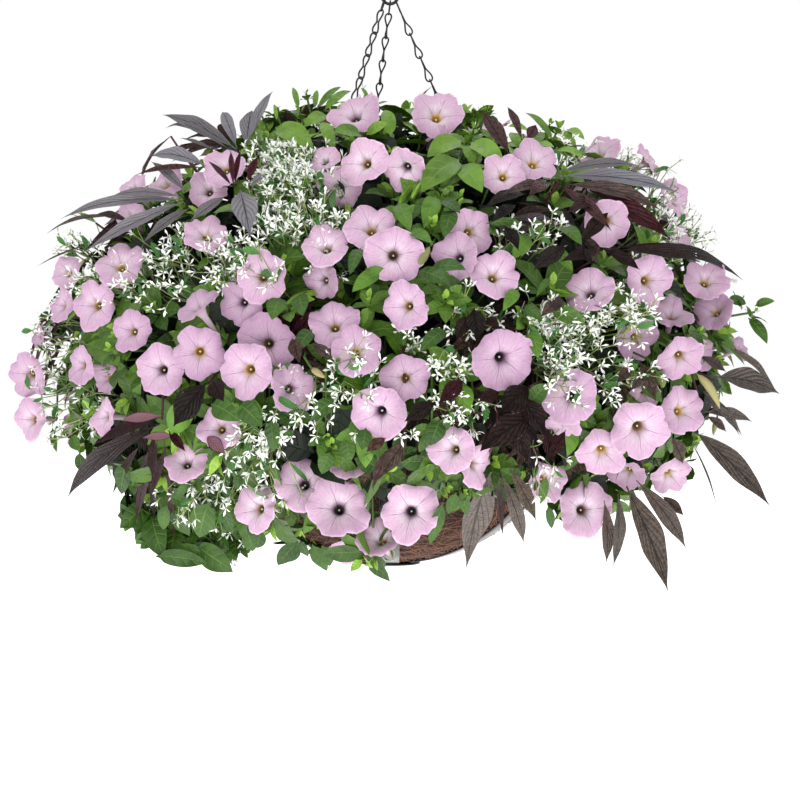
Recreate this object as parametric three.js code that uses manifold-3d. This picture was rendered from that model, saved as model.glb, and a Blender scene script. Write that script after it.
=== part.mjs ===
// A hanging flower basket: petunias, dark sweet-potato vine and white euphorbia grow from one coir-lined
// basket of flat steel bands, which hangs from a hook by three chains. Millimetres, +Z up, +X right as seen
// from the front. The origin is the seat of the hook.

import * as THREE from "three";
import { mergeVertices } from "three/addons/utils/BufferGeometryUtils.js";
import Module from "manifold-3d";

const wasm = await Module();
wasm.setup();

// Driving dimensions of the basket and its hanger
const GAP = 0.35;
const HANGING_GAP = 0.7;
const HOOK_WIRE = 1.6;
const HOOK_THROAT = 11;
const RING_RADIUS = 8;
const RING_DROP = 80;
const CHAIN_WIRE = 0.9;
const LINK_HALF_WIDTH = 3.6;
const LINKS_PER_CHAIN = 18;
const END_LOOP_HALF_WIDTH = 4;
const END_LOOP_HALF_LENGTH = 7;
const CHAIN_AZIMUTHS = [107.8, 227.8, 347.8];
const CHAIN_SEATS_ON_RING = [0, -48, 48];
const RIM_RADIUS = 178;
const RIM_DROP = 497;
const RIM_BAND = 18;
const BAND_THICKNESS = 2.2;
const RIB_WIDTH = 19;
const RIB_COUNT = 6;
const FRONT_RIB_AZIMUTH = -90;
const BASE_PLATE_RADIUS = 30;
const BASKET_DEPTH = 147;
const LINER_THICKNESS = 8;
const SOIL_BELOW_RIM = 11;
const EYE_RADIUS = 4.8;
const EYE_WIRE = 1.3;

// The planting fills a rounded dome round this height
const DOME_HEIGHT = -459;
const DOME_RADIUS = 350;
const DOME_RISE = 275;
const DOME_DROP = 178;
const LOWEST_TILT = 128;
const SOIL_SPREAD = 118;
const ROOT_DEPTH = 26;
const TRUNK_RADIUS = 3.2;
const TRUNK_STEPS = 4;
const TWIG_RADIUS = 1.3;

// The photograph: 1 mm per pixel at the basket's axis, seen level from this far in front
const PHOTO_COLUMN = 390;
const PHOTO_ROW = 375;
const VIEW_DISTANCE = 2200;
const VIEW_OFFSET = 10;

const PETUNIA_SPRAYS = 18;
const LEAFY_STEMS = 6;
const VINE_STEMS = 8;
const EUPHORBIA_SPRAYS = 8;
const BACK_BLOOMS = 34;
const BACK_SHOOTS = 9;
const BACK_VINE_LEAVES = 7;
const BACK_HEADS = 10;

const COLOURS = {
  steel: { color: 0x24211f, roughness: 0.35, metalness: 0.6 },
  chain: { color: 0x15161a, roughness: 0.4, metalness: 0.7 },
  coir: { color: 0x4a2a20, roughness: 0.95, metalness: 0 },
  soil: { color: 0x2b211a, roughness: 1, metalness: 0 },
  petal: { color: 0xdfb2da, roughness: 0.6, metalness: 0 },
  leaf: { color: 0x4c7a37, roughness: 0.6, metalness: 0 },
  vine: { color: 0x2e2230, roughness: 0.45, metalness: 0 },
  euphorbia: { color: 0xe6efd8, roughness: 0.6, metalness: 0 },
};

// Blooms seen in the photograph, front ones first:
// column, row, breadth, and how far the throat lies right of and below the middle of the face
const SEEN_BLOOMS = [
  [504, 360, 61, -5, -4], [338, 507, 62, 1, 5], [410, 513, 58, 2, -1], [301, 485, 56, 2, 4],
  [641, 431, 60, -3, -6], [681, 359, 46, -2, -6], [585, 510, 54, -4, 1], [570, 397, 54, 3, -1],
  [451, 450, 48, 7, 0], [683, 410, 48, -6, 2], [604, 455, 50, 0, -7], [378, 414, 55, 5, -4],
  [405, 378, 48, 1, 0], [246, 371, 55, 5, -2], [199, 353, 52, 0, -2], [292, 389, 48, -6, 0],
  [264, 343, 59, 3, 0], [159, 370, 50, 5, 0], [357, 351, 50, -2, 3], [334, 323, 50, 1, 7],
  [405, 306, 48, 6, 0], [394, 255, 56, -1, 0], [371, 226, 52, 1, 8], [325, 244, 48, 2, 8],
  [262, 277, 51, 1, 0], [196, 305, 46, 7, 10], [238, 302, 46, 5, -1], [495, 274, 50, -3, 6],
  [456, 256, 48, 6, 2], [472, 231, 46, -5, 0], [588, 290, 50, 5, 7], [650, 281, 50, -6, -1],
  [707, 279, 46, -2, 7], [679, 311, 47, -2, 11], [717, 309, 42, 6, 6], [644, 339, 46, -5, -4],
  [608, 223, 46, -2, -4], [404, 170, 46, 5, -6], [363, 162, 48, 6, 2], [354, 113, 50, 3, 9],
  [437, 113, 52, -1, 7], [338, 185, 43, 0, -2], [323, 158, 32, 4, 5], [504, 174, 44, -1, 4],
  [535, 160, 48, -3, 7], [205, 233, 44, 1, 7], [224, 167, 42, 3, 5], [204, 187, 40, 3, 4],
  [119, 263, 50, 3, 8], [93, 305, 48, 6, 1], [130, 331, 42, 5, 1], [186, 461, 44, 1, 7],
  [255, 509, 48, 8, 1], [350, 463, 44, 3, 10], [219, 428, 44, 3, 3], [552, 482, 48, -9, 0],
  [671, 477, 42, -4, -7], [380, 537, 46, 4, 9], [346, 551, 38, -2, -8], [320, 279, 38, 6, -1],
  [29, 420, 42, 8, 0], [27, 376, 44, 6, -3], [79, 365, 40, 9, 1], [103, 416, 38, 9, 1],
  [60, 305, 38, 9, 2], [163, 182, 44, 7, 8], [677, 199, 42, -9, 4], [685, 231, 34, -7, 4],
  [598, 151, 44, 3, 9], [742, 348, 26, -6, 3], [712, 351, 38, -10, 0], [478, 466, 44, -10, -3],
  [38, 336, 24, 6, 0], [437, 134, 34, 8, 2],
];

// Leafy petunia shoots seen in the photograph: column and row of the shoot tip
const SEEN_SHOOTS = [
  [300, 112], [268, 138], [480, 112], [440, 182], [398, 210], [550, 124], [440, 284], [286, 305],
  [700, 332], [755, 312], [160, 522], [214, 548], [312, 548], [462, 492], [118, 338], [232, 408],
  [528, 318], [432, 434],
];

// Dark vine leaves seen in the photograph: base, broadest lobe in mm, lobe tips
const SEEN_VINE_LEAVES = [
  { base: [236, 150], width: 15, tips: [[163, 115], [165, 131], [180, 142], [222, 112], [273, 90]] },
  { base: [207, 165], width: 15, tips: [[150, 157], [133, 176], [172, 192]] },
  { base: [180, 202], width: 20, tips: [[110, 193], [60, 219], [88, 250], [126, 246]] },
  { base: [250, 196], width: 26, tips: [[246, 236], [262, 182]] },
  { base: [162, 420], width: 17, tips: [[67, 498], [112, 506], [137, 536], [158, 528], [174, 545]] },
  { base: [208, 383], width: 30, tips: [[174, 428], [222, 370]] },
  { base: [489, 466], width: 28, tips: [[466, 568], [499, 537], [524, 543]] },
  { base: [629, 486], width: 27, tips: [[668, 590], [612, 567], [596, 556], [686, 548]] },
  { base: [694, 430], width: 25, tips: [[771, 507], [718, 510]] },
  { base: [716, 380], width: 24, tips: [[780, 394], [750, 424], [728, 452]] },
  { base: [586, 182], width: 22, tips: [[646, 164], [674, 194], [662, 210], [640, 232], [566, 160]] },
  { base: [636, 238], width: 20, tips: [[743, 280], [700, 300]] },
  { base: [512, 424], width: 34, tips: [[482, 452], [530, 452]] },
  { base: [480, 300], width: 24, tips: [[456, 330], [496, 336]] },
];

// Euphorbia heads seen in the photograph: column and row
const SEEN_EUPHORBIA = [
  [262, 176], [300, 178], [318, 212], [270, 214], [246, 246], [300, 246], [150, 262], [186, 270],
  [90, 262], [58, 262], [150, 296], [62, 390], [84, 440], [252, 440], [236, 476], [336, 384],
  [318, 366], [446, 356], [470, 396], [424, 404], [546, 314], [576, 336], [606, 334], [534, 246],
  [660, 176], [690, 170], [206, 530], [186, 508], [612, 366], [540, 380], [720, 236], [290, 440],
];

const UP = new THREE.Vector3(0, 0, 1);

function radians(degrees) {
  return degrees * Math.PI / 180;
}

// A repeatable stream of numbers from 0 to 1
function seededStream(seed) {
  let state = seed >>> 0;
  return () => {
    state = (state + 0x6d2b79f5) >>> 0;
    let mixed = Math.imul(state ^ (state >>> 15), state | 1);
    mixed ^= mixed + Math.imul(mixed ^ (mixed >>> 7), mixed | 61);
    return ((mixed ^ (mixed >>> 14)) >>> 0) / 4294967296;
  };
}

// Solids

function solidOf(geometry) {
  const bare = geometry.clone();
  bare.deleteAttribute("normal");
  bare.deleteAttribute("uv");
  const merged = mergeVertices(bare, 1e-4);
  const indices = merged.index.array;
  const build = (triangles) => new wasm.Manifold(new wasm.Mesh({
    numProp: 3,
    vertProperties: new Float32Array(merged.attributes.position.array),
    triVerts: new Uint32Array(triangles),
  }));
  const solid = build(indices);
  if (solid.volume() > 0) {
    return solid;
  }
  const flipped = [];
  for (let corner = 0; corner < indices.length; corner += 3) {
    flipped.push(indices[corner], indices[corner + 2], indices[corner + 1]);
  }
  return build(flipped);
}

function geometryOf(solid) {
  const mesh = solid.getMesh();
  const geometry = new THREE.BufferGeometry();
  geometry.setAttribute("position", new THREE.BufferAttribute(new Float32Array(mesh.vertProperties), 3));
  geometry.setIndex(new THREE.BufferAttribute(new Uint32Array(mesh.triVerts), 1));
  geometry.computeVertexNormals();
  return geometry;
}

function fuse(solids) {
  return solids.slice(1).reduce((whole, next) => whole.add(next), solids[0]);
}

function polar(radius, azimuth, height) {
  return new THREE.Vector3(radius * Math.cos(azimuth), radius * Math.sin(azimuth), height);
}

// A round or few-sided wire or stem along a smooth line through the points
function stem(points, radius, sides = 3, steps = points.length - 1) {
  const section = new THREE.Shape();
  for (let side = 0; side < sides; side += 1) {
    const angle = 2 * Math.PI * side / sides;
    const corner = [radius * Math.cos(angle), radius * Math.sin(angle)];
    if (side === 0) {
      section.moveTo(...corner);
    } else {
      section.lineTo(...corner);
    }
  }
  section.closePath();
  return new THREE.ExtrudeGeometry(section, { steps, extrudePath: new THREE.CatmullRomCurve3(points) });
}

function meshOf(corners, faces) {
  const geometry = new THREE.BufferGeometry();
  geometry.setAttribute("position", new THREE.Float32BufferAttribute(corners.flatMap((p) => p.toArray()), 3));
  geometry.setIndex(faces);
  return geometry;
}

// A whorl or a palmate leaf: keeled lobes from one middle, with a notch between each two. Each lobe has
// stations across it, or none where it is only a narrow spike.
const NOTCH = 2.4;
const OVATE = [[0.45, 1]];
const LANCE = [[0.3, 0.78], [0.64, 1]];

function star(middle, face, lobes, thickness, arch, shape, hub) {
  const across = Math.abs(face.z) > 0.95 ? new THREE.Vector3(1, 0, 0) : UP.clone().cross(face).normalize();
  const over = face.clone().cross(across);
  const sorted = lobes
    .map(({ tip, width }) => {
      const way = tip.clone().sub(middle);
      return { tip, width, way, angle: Math.atan2(way.dot(over), way.dot(across)) };
    })
    .sort((p, q) => p.angle - q.angle);
  const count = sorted.length;
  const angleGap = (index) => {
    const turn = sorted[(index + 1) % count].angle - sorted[index % count].angle;
    return index % count === count - 1 ? turn + 2 * Math.PI : turn;
  };
  const corners = [middle.clone().addScaledVector(face, thickness / 2)];
  const notches = sorted.map(({ angle }, index) => {
    const between = angle + angleGap(index) / 2;
    corners.push(middle.clone()
      .addScaledVector(across, NOTCH * Math.cos(between))
      .addScaledVector(over, NOTCH * Math.sin(between)));
    return corners.length - 1;
  });
  const faces = [];
  const stalkRing = [];
  sorted.forEach(({ tip, width, way, angle }, index) => {
    const before = notches[(index + count - 1) % count];
    const after = notches[index];
    const narrow = Math.min(angleGap(index), angleGap(index + count - 1));
    const length = way.length();
    const side = face.clone().cross(way).normalize();
    const out = way.clone().cross(side).normalize();
    const stations = shape.length > 0 ? shape : [[0.4, 0]];
    let left = after;
    let right = before;
    const root = corners.push(middle.clone()
      .addScaledVector(across, 0.6 * NOTCH * Math.cos(angle))
      .addScaledVector(over, 0.6 * NOTCH * Math.sin(angle))
      .addScaledVector(face, -thickness)) - 1;
    stalkRing.push(root, after);
    let top = 0;
    let bottom = root;
    stations.forEach(([part, breadth], station) => {
      const room = 0.9 * part * length * Math.tan(Math.min(narrow, 1.6) / 2);
      const half = Math.min(width * breadth / 2, room);
      const spine = middle.clone().addScaledVector(way, part)
        .addScaledVector(out, arch * length * Math.sin(Math.PI * part));
      const ridge = corners.push(spine.clone().addScaledVector(out, thickness / 2)) - 1;
      const rib = corners.push(spine.clone().addScaledVector(out, -thickness / 2)) - 1;
      if (breadth > 0) {
        const farLeft = corners.push(spine.clone().addScaledVector(side, half)
          .addScaledVector(out, 0.25 * half)) - 1;
        const farRight = corners.push(spine.clone().addScaledVector(side, -half)
          .addScaledVector(out, 0.25 * half)) - 1;
        if (station === 0) {
          faces.push(0, right, ridge, 0, ridge, left, root, rib, right, root, left, rib);
          faces.push(right, farRight, ridge, left, ridge, farLeft, right, rib, farRight, left, farLeft, rib);
        } else {
          faces.push(right, farRight, ridge, right, ridge, top, left, top, ridge, left, ridge, farLeft);
          faces.push(right, rib, farRight, right, bottom, rib, left, rib, bottom, left, farLeft, rib);
        }
        left = farLeft;
        right = farRight;
      } else {
        faces.push(0, right, ridge, 0, ridge, left, root, rib, right, root, left, rib);
      }
      top = ridge;
      bottom = rib;
    });
    const end = corners.push(tip) - 1;
    faces.push(right, end, top, left, top, end, right, bottom, end, left, end, bottom);
  });
  addStalk(corners, faces, stalkRing, middle, face, hub);
  return meshOf(corners, faces);
}

// Three corners round the hub end of a stalk, anticlockwise as seen from its other end
function stalkEnd(hub, way, firstArm) {
  const arm = firstArm.clone().addScaledVector(way, -firstArm.dot(way)).setLength(TWIG_RADIUS);
  return [0, 1, 2].map((side) => hub.clone().add(arm.clone().applyAxisAngle(way, radians(120 * side))));
}

// A three-sided stalk from a ring of corners, which runs anticlockwise round the face, back to the hub
function addStalk(corners, faces, ring, middle, face, hub) {
  const way = middle.clone().sub(hub).normalize();
  const first = corners.length;
  stalkEnd(hub, way, corners[ring[0]].clone().sub(middle)).forEach((corner) => corners.push(corner));
  const share = ring.length / 3;
  const endOf = (step) => first + Math.min(2, Math.floor((step + share / 2) / share));
  ring.forEach((corner, step) => {
    const next = ring[(step + 1) % ring.length];
    const here = endOf(step);
    const there = step === ring.length - 1 ? first : endOf(step + 1);
    faces.push(corner, here, next);
    if (here !== there) {
      faces.push(next, here, there);
    }
  });
  faces.push(first, first + 2, first + 1);
}

// A funnel-shaped bloom: five lobes with a notch between each two, a hollow face and a tapered tube behind
const TUBE_LENGTH = 36;
const LOBE_POINTS = [[0, 0.86, -1.6], [20, 1, 0.4], [52, 1, 0.4]];

function bloom(centre, face, diameter, turn, hub) {
  const radius = diameter / 2;
  const upright = Math.abs(face.z) > 0.95 ? new THREE.Vector3(0, 1, 0) : UP;
  const across = upright.clone().cross(face).normalize();
  const over = face.clone().cross(across);
  const at = (r, angle, height) => centre.clone()
    .addScaledVector(across, r * Math.cos(angle))
    .addScaledVector(over, r * Math.sin(angle))
    .addScaledVector(face, height);
  const corners = [];
  for (let lobe = 0; lobe < 5; lobe += 1) {
    LOBE_POINTS.forEach(([degrees, reach, height]) => {
      corners.push(at(radius * reach, turn + radians(72 * lobe + degrees), height));
    });
  }
  const rim = corners.length;
  for (let lobe = 0; lobe < 5; lobe += 1) {
    corners.push(at(3.6, turn + radians(72 * lobe + 36), -0.42 * radius));
  }
  const throat = corners.push(at(0, 0, -0.28 * radius)) - 1;
  const foot = corners.length;
  for (let side = 0; side < 3; side += 1) {
    corners.push(at(TWIG_RADIUS, turn + radians(120 * side + 36), -TUBE_LENGTH));
  }
  const hubStart = corners.length;
  const footMiddle = at(0, 0, -TUBE_LENGTH);
  const stalk = footMiddle.clone().sub(hub).normalize();
  stalkEnd(hub, stalk, corners[foot].clone().sub(footMiddle)).forEach((corner) => corners.push(corner));
  const faces = [];
  const inRim = (point) => point % rim;
  for (let point = 0; point < rim; point += 1) {
    faces.push(point, inRim(point + 1), throat);
  }
  const perLobe = LOBE_POINTS.length;
  const footOf = [0, 1, 1, 2, 2];
  for (let lobe = 0; lobe < 5; lobe += 1) {
    const own = rim + lobe;
    const next = rim + (lobe + 1) % 5;
    for (let point = 0; point < perLobe; point += 1) {
      faces.push(inRim(perLobe * lobe + point + 1), perLobe * lobe + point, own);
    }
    faces.push(inRim(perLobe * (lobe + 1)), own, next);
    const here = foot + footOf[lobe];
    const there = foot + footOf[(lobe + 1) % 5];
    faces.push(own, here, next);
    if (here !== there) {
      faces.push(next, here, there);
    }
  }
  for (let side = 0; side < 3; side += 1) {
    const next = (side + 1) % 3;
    faces.push(foot + side, hubStart + side, foot + next);
    faces.push(foot + next, hubStart + side, hubStart + next);
  }
  faces.push(hubStart, hubStart + 2, hubStart + 1);
  return meshOf(corners, faces);
}

// The dome and the stems that fill it

function domePoint(azimuth, tilt, swell = 1) {
  const rise = Math.cos(tilt) > 0 ? DOME_RISE : DOME_DROP;
  return polar(swell * DOME_RADIUS * Math.sin(tilt), azimuth, DOME_HEIGHT + swell * rise * Math.cos(tilt));
}

function bearingOf(point) {
  const rise = point.z > DOME_HEIGHT ? DOME_RISE : DOME_DROP;
  const level = Math.hypot(point.x, point.y) / DOME_RADIUS;
  return {
    azimuth: Math.atan2(point.y, point.x),
    tilt: Math.atan2(level, (point.z - DOME_HEIGHT) / rise),
  };
}

function outwardAt(point) {
  const rise = point.z > DOME_HEIGHT ? DOME_RISE : DOME_DROP;
  return new THREE.Vector3(
    point.x / DOME_RADIUS ** 2,
    point.y / DOME_RADIUS ** 2,
    (point.z - DOME_HEIGHT) / rise ** 2,
  ).normalize();
}

// The point of the swollen dome that stands behind a pixel of the photograph
function seen(column, row, swell = 1) {
  const eye = new THREE.Vector3(VIEW_OFFSET, -VIEW_DISTANCE, DOME_HEIGHT);
  const target = new THREE.Vector3(column - PHOTO_COLUMN, 0, DOME_HEIGHT - (row - PHOTO_ROW));
  const rise = target.z > DOME_HEIGHT ? DOME_RISE : DOME_DROP;
  const scale = new THREE.Vector3(DOME_RADIUS, DOME_RADIUS, rise).multiplyScalar(swell);
  const ray = target.clone().sub(eye);
  const start = eye.clone().setZ(0).divide(scale);
  const way = ray.clone().divide(scale);
  const a = way.dot(way);
  const b = start.dot(way);
  const c = start.dot(start) - 1;
  const inside = b * b - a * c;
  const part = inside > 0 ? (-b - Math.sqrt(inside)) / a : -b / a;
  return eye.addScaledVector(ray, part);
}

// Stems rise from the soil and bend outwards over the rim, and never cross, as each keeps its own bearing
function stemLine(bearing) {
  const azimuth = bearing.azimuth;
  const tilt = Math.min(bearing.tilt, radians(LOWEST_TILT));
  const share = tilt / radians(LOWEST_TILT);
  const soil = -RIM_DROP - SOIL_BELOW_RIM;
  const root = polar(SOIL_SPREAD * share, azimuth, soil - ROOT_DEPTH);
  const bend = polar(SOIL_SPREAD * share + 75 * share ** 1.5, azimuth, soil + 165);
  return new THREE.QuadraticBezierCurve3(root, bend, domePoint(azimuth, tilt, 0.97));
}

// What stands already, the solids of each node, the facets' points of each main stem, and the stems' holes
const placed = [];
const nodes = new Map();
const trunks = new Map();
const stemHoles = [];

function boxOf(geometry) {
  geometry.computeBoundingBox();
  return geometry.boundingBox.clone();
}

function keep(node, kind, geometry) {
  const solid = solidOf(geometry);
  placed.push({ node, kind, solid, box: boxOf(geometry) });
  if (!nodes.has(node)) {
    nodes.set(node, []);
  }
  nodes.get(node).push(solid);
}

// Whether a piece keeps its gap to all that stands, apart from the main stem of its own node
function isClear(node, piece) {
  const shifts = piece.guard
    ? [new THREE.Vector3()]
    : [1, -1].flatMap((sign) => [
      piece.normal.clone().multiplyScalar(sign * GAP),
      piece.across.clone().multiplyScalar(sign * GAP),
    ]);
  return shifts.every((shift) => {
    const moved = (piece.guard ?? piece.geometry).clone().translate(shift.x, shift.y, shift.z);
    const box = boxOf(moved);
    let solid = null;
    return placed.every((other) => {
      const ownStem = other.node === node && other.kind === "stem";
      if (ownStem || !box.intersectsBox(other.box)) {
        return true;
      }
      solid = solid ?? solidOf(moved);
      return solid.intersect(other.solid).isEmpty();
    });
  });
}

// Tries a growth in one place after another, slid a little across and along its depth and from one place on
// the main stem after another, and keeps the first that stands clear
function growClear(node, order, slides, depths, piecesAt) {
  for (const slide of slides) {
    for (const depth of depths) {
      for (let attempt = 0; attempt < BRANCH_STARTS.length; attempt += 1) {
        const start = BRANCH_STARTS[(attempt + 3 * order) % BRANCH_STARTS.length];
        const pieces = piecesAt(slide, depth, hubAt(node, start));
        if (pieces.length > 0 && pieces.every((piece) => isClear(node, piece))) {
          pieces.forEach((piece) => keep(node, piece.kind, piece.geometry));
          return true;
        }
      }
    }
  }
  return false;
}

// Turns a face that looks back along its stalk far enough round for the stalk to reach it from behind
function leanTo(face, way) {
  const least = 0.3;
  const share = face.dot(way);
  return share > least ? face : face.clone().addScaledVector(way, 1.2 * (least - share)).normalize();
}

// Whether a stalk from the hub reaches the foot of a bloom or whorl from behind its face
function fromBehind(foot, face, hub) {
  const stalk = foot.clone().sub(hub);
  return stalk.length() > 12 && stalk.dot(face) > 0.15 * stalk.length();
}

function sideOf(face) {
  return UP.clone().cross(face).normalize();
}

function slid(point, face, [right, up]) {
  const across = sideOf(face);
  return point.clone().addScaledVector(across, right).addScaledVector(face.clone().cross(across), up);
}

// Sorts points into groups by the nearest of a few middles, moved to their groups' means
function gather(points, count, seed) {
  const draw = seededStream(seed);
  const middles = [];
  const start = points.slice().sort((p, q) => p.x - q.x);
  for (let index = 0; index < count; index += 1) {
    middles.push(start[Math.floor((index + draw() * 0.5) * points.length / count)].clone());
  }
  let owners = [];
  for (let round = 0; round < 24; round += 1) {
    owners = points.map((point) => {
      const gaps = middles.map((middle) => middle.distanceTo(point));
      return gaps.indexOf(Math.min(...gaps));
    });
    middles.forEach((middle, index) => {
      const own = points.filter((_, at) => owners[at] === index);
      if (own.length > 0) {
        middle.set(0, 0, 0);
        own.forEach((point) => middle.add(point));
        middle.divideScalar(own.length);
      }
    });
  }
  return { middles, owners };
}

function numbered(name, index) {
  return `${name}_${String(index + 1).padStart(2, "0")}`;
}

// Hanger

function makeHook() {
  const bow = HOOK_THROAT + HOOK_WIRE;
  const points = [new THREE.Vector3(-bow - 1, 0, -HOOK_THROAT - 9), new THREE.Vector3(-bow, 0, -HOOK_THROAT)];
  for (let degrees = 150; degrees >= 0; degrees -= 30) {
    const angle = radians(degrees);
    points.push(new THREE.Vector3(bow * Math.cos(angle), 0, -HOOK_THROAT + bow * Math.sin(angle)));
  }
  points.push(new THREE.Vector3(bow - 2, 0, -HOOK_THROAT - 12));
  points.push(new THREE.Vector3(2.5, 0, -HOOK_THROAT - 25));
  points.push(new THREE.Vector3(0, 0, RING_RADIUS - RING_DROP - 1));
  const shank = stem(points, HOOK_WIRE, 5, 14);
  const ring = new THREE.TorusGeometry(RING_RADIUS, HOOK_WIRE, 5, 14);
  ring.rotateX(Math.PI / 2);
  ring.translate(0, 0, -RING_DROP);
  keep("hook", "metal", geometryOf(fuse([solidOf(shank), solidOf(ring)])));
}

function ringSeat(degrees) {
  const angle = radians(degrees);
  return new THREE.Vector3(
    RING_RADIUS * Math.sin(angle),
    0,
    -RING_DROP - RING_RADIUS * Math.cos(angle),
  );
}

function eyeSeat(azimuth) {
  return polar(RIM_RADIUS + BAND_THICKNESS / 2 + GAP, radians(azimuth), -RIM_DROP + RIM_BAND / 2 + 3.6);
}

// Two-stranded links in turn along and across the upright plane of the chain. Each knot between two links is
// an octahedron, whose faces carry the ends of four strands.
const STRAND_SIDES = [[[1, 1], [-1, -1]], [[1, -1], [-1, 1]]];

function chainMesh(start, down, pitch, count, upright) {
  const level = down.clone().cross(upright).normalize();
  const inward = level.clone().cross(down).normalize();
  const x = inward.clone().add(level).normalize();
  const y = x.clone().cross(down).normalize();
  const planeOf = (link) => (count - link) % 2;
  const corners = [];
  const faces = [];
  const wall = (turned, upper, lower) => {
    for (let side = 0; side < 3; side += 1) {
      const next = (side + 1) % 3;
      const quad = [upper[side], upper[next], lower[next], upper[side], lower[next], lower[side]];
      faces.push(...(turned > 0 ? quad.reverse() : quad));
    }
  };
  const knotAt = (knot) => start.clone().addScaledVector(down, pitch * knot);
  const reach = 1.25 * CHAIN_WIRE;
  for (let knot = 0; knot <= count; knot += 1) {
    [[x, 1], [x, -1], [y, 1], [y, -1], [down, -1], [down, 1]].forEach(([axis, sign]) => {
      corners.push(knotAt(knot).addScaledVector(axis, sign * reach));
    });
  }
  const cornerOf = (knot, sx, sy, up) => [
    6 * knot + (sx > 0 ? 0 : 1),
    6 * knot + (sy > 0 ? 2 : 3),
    6 * knot + (up ? 4 : 5),
  ];
  for (let link = 0; link < count; link += 1) {
    STRAND_SIDES[planeOf(link)].forEach(([sx, sy]) => {
      const side = x.clone().multiplyScalar(sx).addScaledVector(y, sy).normalize();
      const middle = knotAt(link + 0.5).addScaledVector(side, LINK_HALF_WIDTH);
      const first = corners.length;
      corners.push(middle.clone().addScaledVector(x, sx * CHAIN_WIRE));
      corners.push(middle.clone().addScaledVector(y, sy * CHAIN_WIRE));
      corners.push(middle.clone().addScaledVector(side, -0.8 * CHAIN_WIRE));
      const ring = [first, first + 1, first + 2];
      wall(sx * sy, cornerOf(link, sx, sy, false), ring);
      wall(sx * sy, ring, cornerOf(link + 1, sx, sy, true));
    });
  }
  for (let knot = 0; knot <= count; knot += 1) {
    [[1, 1], [1, -1], [-1, 1], [-1, -1]].forEach(([sx, sy]) => {
      [true, false].forEach((up) => {
        const link = up ? knot - 1 : knot;
        const open = link >= 0 && link < count
          && STRAND_SIDES[planeOf(link)].some(([px, py]) => px === sx && py === sy);
        if (!open) {
          const face = cornerOf(knot, sx, sy, up);
          faces.push(...(sx * sy * (up ? 1 : -1) > 0 ? face : face.reverse()));
        }
      });
    });
  }
  return meshOf(corners, faces);
}

// The larger loop at a chain's end, with its wire's middle at the tip
function endLoop(tip, way, wide) {
  const loop = new THREE.TorusGeometry(END_LOOP_HALF_WIDTH, CHAIN_WIRE, 3, 6);
  const position = loop.attributes.position;
  for (let vertex = 0; vertex < position.count; vertex += 1) {
    const x = position.getX(vertex);
    position.setX(vertex, x + Math.sign(x) * (END_LOOP_HALF_LENGTH - END_LOOP_HALF_WIDTH));
  }
  loop.applyMatrix4(new THREE.Matrix4().makeBasis(way, wide, way.clone().cross(wide)));
  const middle = tip.clone().addScaledVector(way, END_LOOP_HALF_LENGTH);
  return loop.translate(middle.x, middle.y, middle.z);
}

function makeChain(index) {
  const seat = ringSeat(CHAIN_SEATS_ON_RING[index]);
  const outward = polar(1, radians(CHAIN_AZIMUTHS[index]), 0);
  const eye = eyeSeat(CHAIN_AZIMUTHS[index]);
  eye.z += EYE_RADIUS - EYE_WIRE - CHAIN_WIRE - HANGING_GAP;
  const down = eye.clone().sub(seat).normalize();
  const level = down.clone().cross(outward).normalize();
  const inward = level.clone().cross(down);
  const ringWay = radians(CHAIN_SEATS_ON_RING[index]);
  const alongRing = new THREE.Vector3(Math.cos(ringWay), 0, Math.sin(ringWay));
  const start = seat.clone().addScaledVector(down, -HOOK_WIRE - CHAIN_WIRE - HANGING_GAP);
  const count = LINKS_PER_CHAIN - 2 + (index === 0 ? 1 : 0);
  const span = eye.distanceTo(start) - 4 * END_LOOP_HALF_LENGTH;
  const first = start.clone().addScaledVector(down, 2 * END_LOOP_HALF_LENGTH);
  const name = numbered("chain", index);
  const pieces = [
    chainMesh(first, down, span / count, count, outward),
    endLoop(start, down, alongRing.cross(down).normalize()),
    endLoop(eye, down.clone().negate(), inward),
  ];
  keep(name, "metal", geometryOf(fuse(pieces.map(solidOf))));
}

// Basket

const OVAL_STEPS = 6;
const FACETS_ROUND = 24;

function quarterOval(radius, depth, steps) {
  const points = [];
  for (let step = 0; step <= steps; step += 1) {
    const angle = Math.PI / 2 * step / steps;
    points.push(new THREE.Vector2(radius * Math.cos(angle), -RIM_DROP - depth * Math.sin(angle)));
  }
  return points;
}

function lathe(profile, segments) {
  const geometry = new THREE.LatheGeometry(profile, segments);
  geometry.rotateX(Math.PI / 2);
  return geometry;
}

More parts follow.
